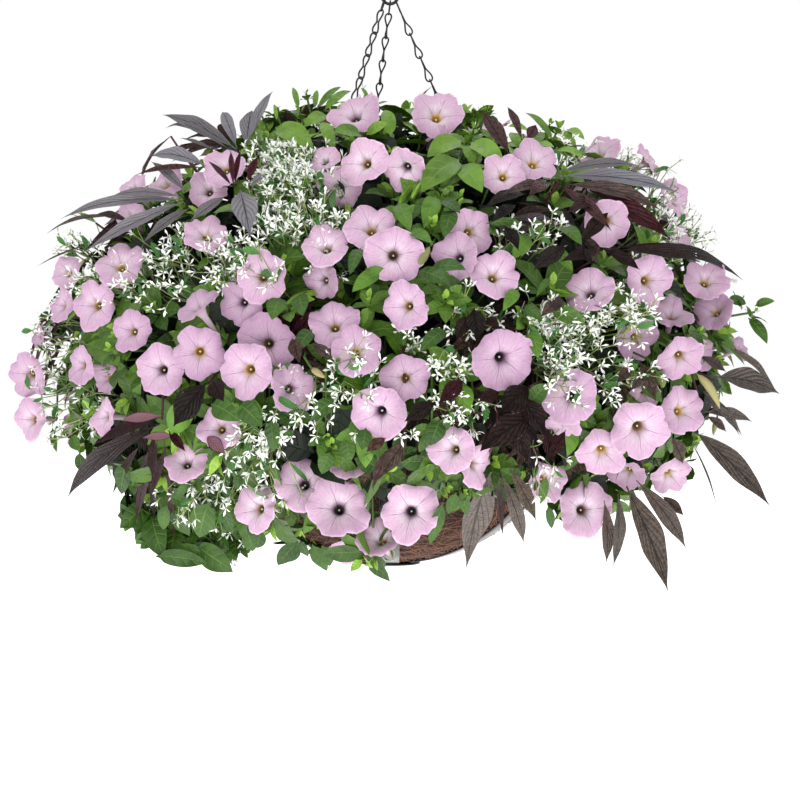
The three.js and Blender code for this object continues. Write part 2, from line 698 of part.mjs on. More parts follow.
function makeFrame() {
  const inner = RIM_RADIUS + GAP;
  const outer = inner + BAND_THICKNESS;
  const top = -RIM_DROP + RIM_BAND / 2;
  const bottom = -RIM_DROP - RIM_BAND / 2;
  const rim = lathe([
    new THREE.Vector2(inner, bottom),
    new THREE.Vector2(outer, bottom),
    new THREE.Vector2(outer, top),
    new THREE.Vector2(inner, top),
    new THREE.Vector2(inner, bottom),
  ], FACETS_ROUND);
  const pieces = [solidOf(rim)];
  const lift = 0.7;
  const thick = lift + BAND_THICKNESS;
  const outerOval = quarterOval(RIM_RADIUS + thick, BASKET_DEPTH + thick, OVAL_STEPS);
  const innerOval = quarterOval(RIM_RADIUS + lift, BASKET_DEPTH + lift, OVAL_STEPS).reverse();
  const band = new THREE.Shape([...outerOval, ...innerOval]);
  for (let rib = 0; rib < RIB_COUNT; rib += 1) {
    const strip = new THREE.ExtrudeGeometry(band, { depth: RIB_WIDTH, bevelEnabled: false });
    strip.translate(0, 0, -RIB_WIDTH / 2);
    strip.rotateX(Math.PI / 2);
    strip.rotateZ(radians(FRONT_RIB_AZIMUTH + 360 * rib / RIB_COUNT));
    pieces.push(solidOf(strip));
  }
  const plateTop = -RIM_DROP - BASKET_DEPTH - lift;
  const plate = lathe([
    new THREE.Vector2(0, plateTop - BAND_THICKNESS - 0.6),
    new THREE.Vector2(BASE_PLATE_RADIUS, plateTop - BAND_THICKNESS - 0.6),
    new THREE.Vector2(BASE_PLATE_RADIUS, plateTop - 0.6),
    new THREE.Vector2(0, plateTop - 0.6),
  ], 18);
  pieces.push(solidOf(plate));
  CHAIN_AZIMUTHS.forEach((azimuth) => {
    const eye = new THREE.TorusGeometry(EYE_RADIUS, EYE_WIRE, 5, 10);
    eye.rotateY(Math.PI / 2);
    eye.rotateZ(radians(azimuth));
    const seat = eyeSeat(azimuth);
    eye.translate(seat.x, seat.y, seat.z);
    pieces.push(solidOf(eye));
  });
  keep("basket_frame", "metal", geometryOf(fuse(pieces)));
}

function makeLiner() {
  const outer = quarterOval(RIM_RADIUS - 0.3, BASKET_DEPTH, OVAL_STEPS);
  const inside = RIM_RADIUS - LINER_THICKNESS;
  const inner = quarterOval(inside, BASKET_DEPTH - LINER_THICKNESS, OVAL_STEPS);
  const brim = -RIM_DROP + 4;
  const profile = [
    ...outer.reverse(),
    new THREE.Vector2(RIM_RADIUS - 0.3, brim),
    new THREE.Vector2(inside, brim),
    ...inner,
  ];
  keep("coir_liner", "fibre", lathe(profile, FACETS_ROUND));
}

function makeSoil() {
  const surface = -RIM_DROP - SOIL_BELOW_RIM;
  const radius = RIM_RADIUS - LINER_THICKNESS - 0.5;
  const depth = BASKET_DEPTH - LINER_THICKNESS - 0.5;
  const side = quarterOval(radius, depth, OVAL_STEPS)
    .filter((point) => point.y < surface - 2)
    .reverse();
  const brimRadius = radius * Math.sqrt(1 - (SOIL_BELOW_RIM / depth) ** 2) - 1.8;
  const profile = [
    ...side,
    new THREE.Vector2(brimRadius, surface),
    new THREE.Vector2(0, surface + 4),
  ];
  let soil = solidOf(lathe(profile, FACETS_ROUND));
  stemHoles.forEach((hole) => {
    soil = soil.subtract(solidOf(hole));
  });
  keep("potting_soil", "soil", geometryOf(soil));
}

// Plants

// Turns a stem's bearing away from the chains, so that the stem stands clear of them
function besideChains(bearing) {
  const nearest = CHAIN_AZIMUTHS
    .map((azimuth) => Math.atan2(
      Math.sin(bearing.azimuth - radians(azimuth)),
      Math.cos(bearing.azimuth - radians(azimuth)),
    ))
    .sort((a, b) => Math.abs(a) - Math.abs(b))[0];
  const least = radians(7);
  if (Math.abs(nearest) >= least) {
    return bearing;
  }
  const turn = (nearest < 0 ? -least : least) - nearest;
  return { azimuth: bearing.azimuth + turn, tilt: bearing.tilt };
}

// A main stem from the soil to its hub, turned a little if another stem stands there
function growTrunk(node, bearing, reach) {
  for (let attempt = 0; attempt < 40; attempt += 1) {
    const swing = radians(2.2) * Math.ceil(attempt / 2) * (attempt % 2 === 0 ? 1 : -1);
    const tilt = Math.max(bearing.tilt, radians(12)) - radians(0.5) * attempt * (bearing.tilt > 0.5 ? 1 : -1);
    const line = stemLine(besideChains({ azimuth: bearing.azimuth + swing, tilt }));
    const sampled = [0, 0.25, 0.5, 0.75, 1].map((part) => line.getPoint(part * reach));
    const points = new THREE.CatmullRomCurve3(sampled).getSpacedPoints(TRUNK_STEPS);
    const guard = stem(points, TRUNK_RADIUS + 2 * GAP);
    if (isClear(node, { guard })) {
      keep(node, "stem", stem(points, TRUNK_RADIUS));
      stemHoles.push(guard);
      trunks.set(node, points);
      return;
    }
  }
  throw new Error(`no room for ${node}`);
}

// Places on the main stem where a side stem may leave it
const BRANCH_STARTS = [0.98, 0.91, 0.84, 0.77, 0.7, 0.63, 0.56, 0.49];

function hubAt(node, start) {
  const points = trunks.get(node);
  const place = start * (points.length - 1);
  const before = Math.min(Math.floor(place), points.length - 2);
  return points[before].clone().lerp(points[before + 1], place - before);
}

// Slides right and up, and depths behind the place read from the photograph, in the order they are tried
const BLOOM_DEPTHS = [0, 7, 14, 21, -7, 28, 36, -14, -28, -42];
const LEAF_DEPTHS = [0, 12, -10, 24, 36, 48, -24, -40];
const VINE_DEPTHS = [0, -12, 12, -24, 24, 36, -36, 48];
const SMALL_SLIDES = [[0, 0], [4, 2], [-4, -2], [2, -5], [-2, 5], [8, 2], [-8, 2], [0, 9], [0, -9]];
const WIDE_SLIDES = [[0, 0], [12, 4], [-12, -4], [6, -14], [-6, 14], [24, 8], [-24, 8], [0, 28], [0, -28]];

function growBloom(node, flower, order) {
  return growClear(node, order, SMALL_SLIDES, BLOOM_DEPTHS, (slide, back, hub) => {
    const centre = slid(flower.centre, flower.face, slide).addScaledVector(flower.push, back);
    const face = leanTo(flower.face, centre.clone().sub(hub).normalize());
    if (!fromBehind(centre.clone().addScaledVector(face, -TUBE_LENGTH), face, hub)) {
      return [];
    }
    return [{
      geometry: bloom(centre, face, flower.diameter, flower.turn, hub),
      kind: "bloom",
      normal: face,
      across: sideOf(face),
    }];
  });
}

function readBloom([column, row, breadth, throatRight, throatDown], draw) {
  const centre = seen(column, row);
  const distance = (VIEW_DISTANCE + centre.y) / VIEW_DISTANCE;
  const depth = 0.3 * breadth;
  const right = -throatRight / depth;
  const up = throatDown / depth;
  const sideways = Math.min(Math.hypot(right, up), 0.93);
  const shrink = sideways / Math.max(Math.hypot(right, up), 1e-6);
  const face = new THREE.Vector3(right * shrink, -Math.sqrt(1 - sideways ** 2), up * shrink);
  return {
    centre,
    face,
    diameter: breadth * distance,
    turn: radians(72 * draw()),
    push: new THREE.Vector3(0, 1, 0),
  };
}

// Evenly spread bearings over the half of the dome that the photograph doesn't show
function backBearings(count, lowestTilt, draw) {
  const bearings = [];
  const golden = Math.PI * (3 - Math.sqrt(5));
  const total = count * 2.6;
  for (let index = 0; index < 4 * total && bearings.length < count; index += 1) {
    const part = ((index + 0.5) / total) % 1;
    const tilt = Math.acos(1 - part * (1 - Math.cos(radians(lowestTilt))));
    const azimuth = golden * index + 0.3 * (draw() - 0.5);
    if (Math.sin(azimuth) * Math.sin(tilt) > 0.12) {
      bearings.push({ azimuth, tilt });
    }
  }
  return bearings;
}

function backBloom(bearing, draw) {
  const centre = domePoint(bearing.azimuth, bearing.tilt);
  const lean = new THREE.Vector3(0.5 * (draw() - 0.5), 0, 0.1 + 0.3 * draw());
  const face = outwardAt(centre).add(lean).normalize();
  return {
    centre,
    face,
    diameter: 43 + 9 * draw(),
    turn: radians(72 * draw()),
    push: outwardAt(centre).negate(),
  };
}

function makeBlooms() {
  const draw = seededStream(11);
  const flowers = SEEN_BLOOMS.map((reading) => readBloom(reading, draw));
  backBearings(BACK_BLOOMS, 112, draw).forEach((bearing) => flowers.push(backBloom(bearing, draw)));
  return flowers;
}

// A shoot tip: a whorl of ovate leaves round the end of a green side stem
function growShoot(node, shoot, order) {
  return growClear(node, order, WIDE_SLIDES, LEAF_DEPTHS, (slide, back, hub) => {
    const tip = slid(shoot.centre, shoot.face, slide).addScaledVector(shoot.face, -back);
    return whorlPieces(tip, hub, shoot, 1.5, 0.1, OVATE);
  });
}

function whorlPieces(tip, hub, { face: ownFace, turn, leaves, length, width, lift }, thickness, arch, shape) {
  const face = leanTo(ownFace, tip.clone().sub(hub).normalize());
  if (!fromBehind(tip, face, hub)) {
    return [];
  }
  const across = sideOf(face);
  const over = face.clone().cross(across);
  const lobes = [];
  for (let leaf = 0; leaf < leaves; leaf += 1) {
    const angle = turn + 2 * Math.PI * leaf / leaves;
    const end = tip.clone()
      .addScaledVector(across, length * Math.cos(angle))
      .addScaledVector(over, length * Math.sin(angle))
      .addScaledVector(face, lift * length);
    lobes.push({ tip: end, width });
  }
  const geometry = star(tip, face, lobes, thickness, arch, shape, hub);
  return [{ geometry, kind: "leaf", normal: face, across }];
}

function makeShoots() {
  const draw = seededStream(23);
  const shape = (centre) => ({
    centre,
    face: outwardAt(centre).addScaledVector(UP, 0.25).normalize(),
    leaves: 4,
    length: 26 + 10 * draw(),
    width: 15 + 5 * draw(),
    turn: 2 * Math.PI * draw(),
    lift: 0.45,
  });
  const shoots = SEEN_SHOOTS.map(([column, row]) => shape(seen(column, row, 0.97)));
  backBearings(BACK_SHOOTS, 118, draw).forEach(({ azimuth, tilt }) => {
    shoots.push(shape(domePoint(azimuth + 0.2, tilt + 0.05, 0.96)));
  });
  return shoots;
}

// A palmate vine leaf: lance-shaped lobes from the end of one leaf stalk
function growVineLeaf(node, leaf, order) {
  return growClear(node, order, SMALL_SLIDES, VINE_DEPTHS, (slide, back, hub) => {
    const base = slid(leaf.base, leaf.face, slide).addScaledVector(leaf.push, back);
    const shift = base.clone().sub(leaf.base);
    const lobes = leaf.tips.map((tip) => ({ tip: tip.clone().add(shift), width: leaf.width }));
    const face = leanTo(leaf.face, base.clone().sub(hub).normalize());
    if (!fromBehind(base, face, hub)) {
      return [];
    }
    const geometry = star(base, face, lobes, 1.8, 0.09, LANCE, hub);
    return [{ geometry, kind: "leaf", normal: face, across: sideOf(face) }];
  });
}

function makeVineLeaves() {
  const draw = seededStream(37);
  const leaves = SEEN_VINE_LEAVES.map(({ base, width, tips }) => {
    const root = seen(base[0], base[1], 1.02);
    const ends = tips.map(([column, row]) => seen(column, row, 1.08));
    return {
      base: root,
      tips: ends,
      width: width * (VIEW_DISTANCE + root.y) / VIEW_DISTANCE,
      face: outwardAt(root).add(new THREE.Vector3(0, -0.6, 0.2)).normalize(),
      push: new THREE.Vector3(0, 1, 0),
    };
  });
  backBearings(BACK_VINE_LEAVES, 116, draw).forEach(({ azimuth, tilt }) => {
    const base = domePoint(azimuth + 0.35, tilt, 0.97);
    const face = outwardAt(base);
    const across = UP.clone().cross(face).normalize();
    const over = face.clone().cross(across);
    const reach = 62 + 24 * draw();
    const heading = -Math.PI / 2 + 1.2 * (draw() - 0.5);
    const tips = [0, -0.55, 0.55, -1.1, 1.1].map((spread) => base.clone()
      .addScaledVector(across, reach * (1 - 0.25 * Math.abs(spread)) * Math.cos(heading + spread))
      .addScaledVector(over, reach * (1 - 0.25 * Math.abs(spread)) * Math.sin(heading + spread))
      .addScaledVector(face, 12));
    leaves.push({ base, tips, width: 19, face, push: face.clone().negate() });
  });
  return leaves;
}

// A euphorbia head: narrow bracts round the tip of a wiry stem
function growHead(node, head, order) {
  return growClear(node, order, WIDE_SLIDES, LEAF_DEPTHS, (slide, back, hub) => {
    const tip = slid(head.centre, head.face, slide).addScaledVector(head.face, -back);
    return whorlPieces(tip, hub, head, 1.4, 0.05, []);
  });
}

function makeEuphorbiaHeads() {
  const draw = seededStream(53);
  const shape = (centre) => ({
    centre,
    face: outwardAt(centre).addScaledVector(UP, 0.15).normalize(),
    leaves: 3,
    length: 17,
    width: 5,
    turn: 2 * Math.PI * draw(),
    lift: 0.4,
  });
  const heads = SEEN_EUPHORBIA.map(([column, row]) => shape(seen(column, row, 1.0)));
  backBearings(BACK_HEADS, 116, draw).forEach(({ azimuth, tilt }) => {
    heads.push(shape(domePoint(azimuth - 0.22, tilt - 0.06)));
  });
  return heads;
}

// One node for each main stem with what grows on it
function plant(name, count, items, place, reach, seed) {
  const { middles, owners } = gather(items.map(place), count, seed);
  return middles
    .map((middle, index) => ({
      node: numbered(name, index),
      bearing: bearingOf(middle),
      items: items.filter((_, at) => owners[at] === index),
      reach,
    }))
    .filter((group) => group.items.length > 0);
}

const flowers = makeBlooms();
const shoots = makeShoots();
const vineLeaves = makeVineLeaves();
const heads = makeEuphorbiaHeads();
const sprays = plant("petunia_spray", PETUNIA_SPRAYS, flowers, (flower) => flower.centre, 0.62, 3);
const vines = plant("vine", VINE_STEMS, vineLeaves, (leaf) => leaf.base, 0.72, 5);
const leafyStems = plant("petunia_leafy_stem", LEAFY_STEMS, shoots, (shoot) => shoot.centre, 0.56, 7);
const euphorbias = plant("euphorbia", EUPHORBIA_SPRAYS, heads, (head) => head.centre, 0.67, 9);

makeHook();
CHAIN_AZIMUTHS.forEach((_, index) => makeChain(index));
makeFrame();
makeLiner();
[...sprays, ...vines, ...euphorbias, ...leafyStems].forEach(({ node, bearing, reach }) => {
  growTrunk(node, bearing, reach);
});
makeSoil();

// Each item grows from its own main stem, or where that has no clear way to it, from the next nearest
function growAll(groups, grow) {
  groups.forEach(({ items }, own) => items.forEach((item, order) => {
    const point = item.centre ?? item.base;
    const distance = ({ node }) => trunks.get(node).at(-1).distanceTo(point);
    const others = groups.filter((_, at) => at !== own).sort((p, q) => distance(p) - distance(q));
    [groups[own], ...others.slice(0, 3)].some(({ node }) => grow(node, item, order));
  }));
}

growAll(sprays, growBloom);
growAll(vines, growVineLeaf);
growAll(leafyStems, growShoot);
growAll(euphorbias, growHead);

function colourOf(node) {
  const kinds = [
    ["hook", COLOURS.chain], ["chain", COLOURS.chain], ["basket_frame", COLOURS.steel],
    ["coir_liner", COLOURS.coir], ["potting_soil", COLOURS.soil], ["petunia_spray", COLOURS.petal],
    ["petunia_leafy_stem", COLOURS.leaf], ["vine", COLOURS.vine], ["euphorbia", COLOURS.euphorbia],
  ];
  return kinds.find(([start]) => node.startsWith(start))[1];
}

const basket = new THREE.Group();
nodes.forEach((solids, name) => {
  const whole = fuse(solids).decompose().sort((p, q) => q.volume() - p.volume())[0];
  const mesh = new THREE.Mesh(geometryOf(whole), new THREE.MeshStandardMaterial(colourOf(name)));
  mesh.name = name;
  basket.add(mesh);
});

export default basket;
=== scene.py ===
"""Looks of a petunia hanging basket: lilac petunias, dark sweet-potato vine and white euphorbia in a banded
coir bowl on three jack chains. Lengths are millimetres up to the meshes, which are in metres."""

import logging
import math
from collections.abc import Callable, Iterator
from dataclasses import dataclass, field
from enum import Enum
from functools import partial

import bpy
import numpy as np
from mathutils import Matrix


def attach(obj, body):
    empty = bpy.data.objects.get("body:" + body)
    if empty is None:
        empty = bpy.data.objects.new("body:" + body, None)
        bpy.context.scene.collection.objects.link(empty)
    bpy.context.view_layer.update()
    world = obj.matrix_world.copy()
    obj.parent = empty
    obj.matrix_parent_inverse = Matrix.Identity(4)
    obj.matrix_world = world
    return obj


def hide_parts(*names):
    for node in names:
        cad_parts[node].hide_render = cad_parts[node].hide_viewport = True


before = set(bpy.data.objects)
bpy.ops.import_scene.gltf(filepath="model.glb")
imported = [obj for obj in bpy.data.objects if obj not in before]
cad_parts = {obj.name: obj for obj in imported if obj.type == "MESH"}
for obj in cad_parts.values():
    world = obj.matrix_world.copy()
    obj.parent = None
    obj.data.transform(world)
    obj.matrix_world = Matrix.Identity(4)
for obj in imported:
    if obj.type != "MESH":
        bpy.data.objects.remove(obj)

log = logging.getLogger("hanging_basket")
Array = np.ndarray
UP = np.array([0.0, 0.0, 1.0])
AWAY = np.array([0.0, 1.0, 0.0])
# A nearly level direction that no stem follows
LEVEL_HINT = np.array([0.31, 0.95, 0.0])
TURN = 2 * math.pi

# Petunia faces seen in the photograph, front ones first: column, row, breadth, how far the throat lies right of
# and below the middle of the face, and how dark the throat is
SEEN_BLOOMS = np.array([
    (504, 360, 61, -5, -4, 1), (338, 507, 62, 1, 5, 1), (410, 513, 58, 2, -1, 1), (301, 485, 56, 2, 4, 1),
    (641, 431, 60, -3, -6, .6), (681, 359, 46, -2, -6, .4), (585, 510, 54, -4, 1, .8), (570, 397, 54, 3, -1, 1),
    (451, 450, 48, 7, 0, .7), (683, 410, 48, -6, 2, .1), (604, 455, 50, 0, -7, .1), (378, 414, 55, 5, -4, 1),
    (405, 378, 48, 1, 0, .2), (246, 371, 55, 5, -2, .3), (199, 353, 52, 0, -2, .2), (292, 389, 48, -6, 0, .9),
    (264, 343, 59, 3, 0, .8), (159, 370, 50, 5, 0, .9), (357, 351, 50, -2, 3, .2), (334, 323, 50, 1, 7, .5),
    (405, 306, 48, 6, 0, .5), (394, 255, 56, -1, 0, .8), (371, 226, 52, 1, 8, .3), (325, 244, 48, 2, 8, .7),
    (262, 277, 51, 1, 0, .4), (196, 305, 46, 7, 10, .2), (238, 302, 46, 5, -1, 1), (495, 274, 50, -3, 6, .5),
    (456, 256, 48, 6, 2, 1), (472, 231, 46, -5, 0, .2), (588, 290, 50, 5, 7, .9), (650, 281, 50, -6, -1, .3),
    (707, 279, 46, -2, 7, .3), (679, 311, 47, -2, 11, .5), (717, 309, 42, 6, 6, .3), (644, 339, 46, -5, -4, .2),
    (608, 223, 46, -2, -4, .3), (404, 170, 46, 5, -6, 1), (363, 162, 48, 6, 2, .6), (354, 113, 50, 3, 9, .9),
    (437, 113, 52, -1, 7, .0), (338, 185, 43, 0, -2, 1), (323, 158, 32, 4, 5, .8), (504, 174, 44, -1, 4, .1),
    (535, 160, 48, -3, 7, .1), (205, 233, 44, 1, 7, .1), (224, 167, 42, 3, 5, .4), (204, 187, 40, 3, 4, .8),
    (119, 263, 50, 3, 8, .2), (93, 305, 48, 6, 1, .4), (130, 331, 42, 5, 1, .5), (186, 461, 44, 1, 7, .9),
    (255, 509, 48, 8, 1, .6), (350, 463, 44, 3, 10, 1), (219, 428, 44, 3, 3, .5), (552, 482, 48, -9, 0, .2),
    (671, 477, 42, -4, -7, .2), (380, 537, 46, 4, 9, .5), (346, 551, 38, -2, -8, .5), (320, 279, 38, 6, -1, .8),
    (29, 420, 42, 8, 0, .5), (27, 376, 44, 6, -3, .5), (79, 365, 40, 9, 1, .6), (103, 416, 38, 9, 1, .6),
    (60, 305, 38, 9, 2, .5), (163, 182, 44, 7, 8, .2), (677, 199, 42, -9, 4, .5), (685, 231, 34, -7, 4, .5),
    (598, 151, 44, 3, 9, .3), (742, 348, 26, -6, 3, .5), (712, 351, 38, -10, 0, .5), (478, 466, 44, -10, -3, .6),
    (38, 336, 24, 6, 0, .5), (437, 134, 34, 8, 2, .5),
], float)

# Small or half-hidden flowers behind those, which the solids leave out
MORE_BLOOMS = np.array([
    (650, 160, 34, -8, 5, .3), (631, 476, 40, 6, -6, .4), (564, 426, 36, 2, -8, .6), (650, 397, 32, 0, -6, .5),
    (66, 272, 34, 5, 3, .3), (132, 185, 30, 4, 6, .3), (124, 212, 32, 3, 4, .3), (98, 378, 34, 7, 0, .2),
], float)

# Buds and withered flowers seen in the photograph: base, tip and width
SEEN_BUDS = np.array([
    (312, 369, 325, 378, 6), (430, 246, 419, 263, 7), (697, 374, 720, 409, 8), (659, 376, 663, 388, 7),
], float)

# Leafy petunia shoots seen in the photograph: column and row of the shoot's tip, and its size
SEEN_SHOOTS = np.array([
    (300, 112, .6), (268, 138, .6), (480, 112, .45), (440, 182, .7), (398, 210, .7), (550, 124, .45),
    (440, 284, .7), (286, 305, .7), (700, 332, .42), (755, 312, .5), (160, 522, .7), (214, 548, .7), (312, 548, .7),
    (462, 492, .5), (118, 338, .7), (232, 408, .7), (528, 318, .6), (432, 434, .7), (474, 128, .5), (432, 226, .7),
    (306, 93, .3), (276, 110, .42), (262, 116, .38), (412, 198, .7), (458, 206, .7), (446, 300, .7), (368, 300, .7),
    (300, 530, .7), (290, 548, .7), (322, 552, .6), (446, 486, .42), (242, 420, .7), (186, 500, .7),
    (742, 300, .35), (559, 128, .62), (326, 438, .7), (332, 446, .7), (122, 334, .6), (112, 350, .6),
    (128, 344, .6), (486, 110, .4), (459, 196, .5), (444, 196, .5),
], float)

# Single broad leaves seen in the photograph: base, tip and width
SEEN_LEAVES = np.array([
    (462, 140, 427, 157, 22), (459, 160, 421, 193, 29), (460, 165, 482, 193, 24), (470, 143, 503, 166, 22),
    (366, 135, 388, 123, 11), (324, 111, 351, 91, 10), (398, 203, 410, 232, 17), (428, 198, 413, 219, 11),
    (436, 196, 424, 228, 19), (440, 200, 460, 214, 14), (408, 232, 432, 244, 13), (418, 271, 450, 286, 17),
    (361, 248, 350, 275, 13), (362, 280, 384, 268, 12), (275, 128, 313, 148, 24), (266, 132, 248, 146, 18),
    (280, 298, 272, 320, 20), (300, 295, 303, 316, 18), (317, 109, 341, 87, 7), (299, 110, 293, 88, 6),
    (315, 109, 317, 90, 6), (328, 115, 304, 127, 15), (322, 122, 334, 151, 13), (362, 136, 334, 132, 20),
    (211, 404, 240, 421, 22), (72, 436, 80, 451, 13), (80, 452, 84, 474, 12), (100, 456, 92, 470, 11),
    (53, 428, 57, 452, 8), (537, 219, 540, 241, 11), (560, 226, 582, 245, 15), (530, 236, 513, 259, 17),
    (548, 247, 573, 272, 15), (550, 278, 536, 297, 7), (518, 290, 503, 311, 13), (531, 331, 538, 359, 16),
    (550, 310, 585, 325, 18), (524, 306, 542, 321, 12), (556, 150, 584, 158, 10), (559, 131, 576, 147, 9),
    (277, 121, 274, 104, 4), (369, 101, 361, 88, 4), (372, 103, 371, 92, 4), (391, 137, 385, 110, 15),
    (467, 146, 473, 164, 14), (529, 132, 508, 127, 9), (553, 141, 525, 113, 9), (452, 210, 444, 238, 17),
    (486, 224, 526, 226, 9), (430, 268, 466, 270, 16), (300, 545, 284, 562, 16), (322, 545, 330, 566, 15),
    (443, 502, 430, 544, 14), (456, 492, 448, 514, 12), (460, 492, 467, 515, 12), (380, 272, 352, 292, 16),
    (312, 330, 296, 352, 16), (240, 404, 262, 426, 22), (446, 330, 420, 352, 16), (640, 384, 662, 402, 14),
    (530, 404, 548, 384, 18), (440, 420, 430, 446, 20), (690, 330, 700, 356, 14), (128, 462, 122, 494, 19),
    (149, 505, 120, 528, 23), (151, 516, 163, 558, 27), (176, 527, 172, 560, 21), (156, 556, 207, 563, 18),
    (196, 546, 233, 572, 26), (209, 502, 199, 538, 27), (172, 508, 189, 536, 16), (167, 505, 163, 530, 14),
    (196, 532, 188, 549, 10), (235, 536, 236, 556, 16), (247, 530, 253, 551, 16), (262, 530, 257, 548, 15),
    (242, 546, 248, 558, 7), (170, 496, 193, 506, 13), (190, 480, 212, 471, 9), (187, 484, 177, 498, 9),
    (195, 481, 203, 494, 8), (240, 474, 237, 489, 10), (210, 530, 229, 548, 18), (222, 505, 232, 531, 14),
    (202, 552, 172, 549, 14), (150, 542, 140, 549, 9), (298, 541, 278, 565, 17), (312, 544, 327, 571, 15),
    (300, 540, 308, 556, 10), (190, 400, 172, 436, 26), (243, 400, 262, 427, 21), (272, 420, 274, 452, 16),
    (312, 420, 286, 414, 14), (334, 400, 311, 421, 17), (366, 428, 362, 450, 15), (346, 440, 350, 462, 16),
    (330, 452, 322, 474, 16), (727, 300, 746, 304, 11), (755, 306, 775, 301, 9), (748, 318, 767, 344, 14),
    (546, 476, 540, 504, 10), (548, 506, 552, 529, 9), (520, 480, 500, 470, 18), (566, 130, 584, 140, 10),
], float)

# Lobes of dark vine leaves seen in the photograph: base, tip, width, how wine-red, and 1 where the underside shows
SEEN_LOBES = np.array([
    (236, 149, 162, 115, 17, 0, 0), (231, 151, 164, 129, 8, 0, 0), (214, 150, 179, 138, 4, 0, 0),
    (237, 148, 222, 112, 13, 0, 0), (244, 150, 273, 91, 12, 0, 0), (246, 146, 252, 110, 18, 0, 0),
    (206, 166, 150, 157, 18, .2, 0), (205, 168, 134, 176, 7, .4, 0), (186, 192, 150, 161, 11, 0, 0),
    (182, 197, 110, 197, 9, 0, 0), (183, 200, 59, 220, 14, 0, 0), (184, 202, 85, 252, 15, 0, 0),
    (190, 208, 143, 243, 11, 0, 0), (118, 216, 46, 234, 6, .3, 0), (90, 244, 36, 267, 3, .4, 0),
    (240, 190, 250, 236, 26, 0, 0), (250, 186, 266, 176, 10, 0, 0), (226, 196, 190, 222, 13, .2, 0),
    (234, 187, 231, 151, 6, 1, 0), (235, 186, 241, 150, 6, 1, 0), (232, 186, 208, 161, 6, 1, 0),
    (247, 182, 258, 156, 9, 1, 0), (130, 222, 96, 214, 8, .3, 0), (559, 172, 641, 166, 13, 0, 0),
    (560, 176, 682, 194, 19, 0, 0), (566, 184, 664, 212, 18, .3, 0), (590, 190, 672, 240, 24, .6, 0),
    (560, 186, 612, 232, 16, .7, 0), (550, 182, 528, 198, 14, .6, 0), (556, 184, 500, 196, 12, .2, 0),
    (526, 194, 484, 208, 14, 0, 0), (516, 205, 490, 224, 12, 0, 0), (505, 226, 519, 251, 14, 0, 0),
    (567, 246, 533, 271, 17, 0, 0), (575, 248, 594, 266, 10, 0, 0), (582, 242, 609, 212, 16, .1, 0),
    (600, 200, 566, 214, 14, .5, 0), (618, 246, 744, 281, 15, .1, 0), (620, 250, 700, 262, 13, .2, 0),
    (606, 250, 640, 270, 14, .2, 0), (598, 254, 560, 262, 12, .2, 0), (509, 154, 481, 110, 18, .5, 0),
    (522, 141, 507, 107, 9, .5, 0), (528, 141, 536, 125, 12, .8, 0), (716, 377, 780, 394, 26, 0, 0),
    (726, 346, 776, 391, 10, 0, 0), (703, 392, 740, 436, 11, .1, 0), (704, 412, 752, 422, 12, .2, 0),
    (706, 402, 742, 436, 10, 0, 0), (694, 431, 771, 507, 24, 0, 0), (690, 439, 718, 511, 2.5, 0, 0),
    (672, 437, 683, 464, 16, .1, 0), (706, 416, 726, 432, 9, .3, 0), (626, 486, 668, 592, 29, 0, 0),
    (636, 480, 686, 549, 18, .1, 0), (662, 496, 684, 516, 11, .1, 0), (618, 494, 613, 568, 15, 0, 0),
    (604, 500, 606, 564, 14, .2, 0), (491, 472, 466, 569, 33, 0, 0), (502, 474, 524, 544, 15, 0, 0),
    (498, 478, 503, 538, 8, .3, 0), (510, 468, 536, 521, 15, 0, 0), (538, 412, 480, 450, 30, .1, 0),
    (530, 386, 500, 414, 26, .1, 0), (520, 396, 546, 436, 22, .1, 0), (512, 420, 528, 462, 20, .1, 0),
    (546, 428, 554, 464, 15, .3, 0), (566, 430, 548, 462, 12, .3, 0), (408, 438, 380, 478, 17, .1, 0),
    (396, 444, 372, 486, 15, .4, 0), (474, 308, 478, 340, 20, 0, 0), (470, 316, 456, 340, 16, .1, 0),
    (486, 318, 500, 328, 10, .1, 0), (292, 338, 300, 364, 14, .2, 0), (312, 344, 333, 360, 12, .2, 0),
    (464, 380, 438, 404, 17, .5, 0), (436, 402, 404, 422, 17, 0, 0), (500, 428, 480, 452, 16, .2, 0),
    (640, 362, 656, 402, 15, .1, 0), (652, 366, 630, 392, 13, .2, 0), (632, 366, 616, 384, 12, .2, 0),
    (206, 383, 173, 427, 28, 0, 0), (212, 380, 224, 402, 20, .1, 0), (162, 417, 92, 446, 12, .3, 0),
    (160, 424, 67, 499, 21, .2, 0), (140, 446, 112, 496, 9, .3, 0), (152, 444, 135, 527, 13, .6, 0),
    (158, 438, 155, 526, 10, .2, 0), (164, 440, 176, 545, 10, 1, 0), (155, 432, 153, 482, 11, .3, 0),
    (162, 416, 120, 421, 11, .2, 1), (176, 436, 142, 438, 9, .3, 1), (206, 436, 226, 455, 14, .4, 1),
    (166, 448, 150, 500, 9, .5, 0), (168, 430, 186, 452, 10, .6, 0), (386, 438, 366, 452, 12, .3, 0),
    (500, 392, 478, 402, 14, .2, 0), (560, 300, 540, 318, 12, .2, 0), (560, 296, 556, 312, 10, .2, 0),
    (700, 356, 726, 372, 10, .2, 0),
], float)

# Main stalks of the seen vine leaves: where each one ends
SEEN_VINE_STALKS = np.array([
    (238, 151), (207, 167), (184, 200), (250, 186), (162, 420), (208, 383), (494, 474), (629, 486), (694, 432),
    (714, 380), (560, 180), (610, 248), (522, 410), (480, 312), (404, 440), (645, 366), (296, 340), (460, 384),
], float)

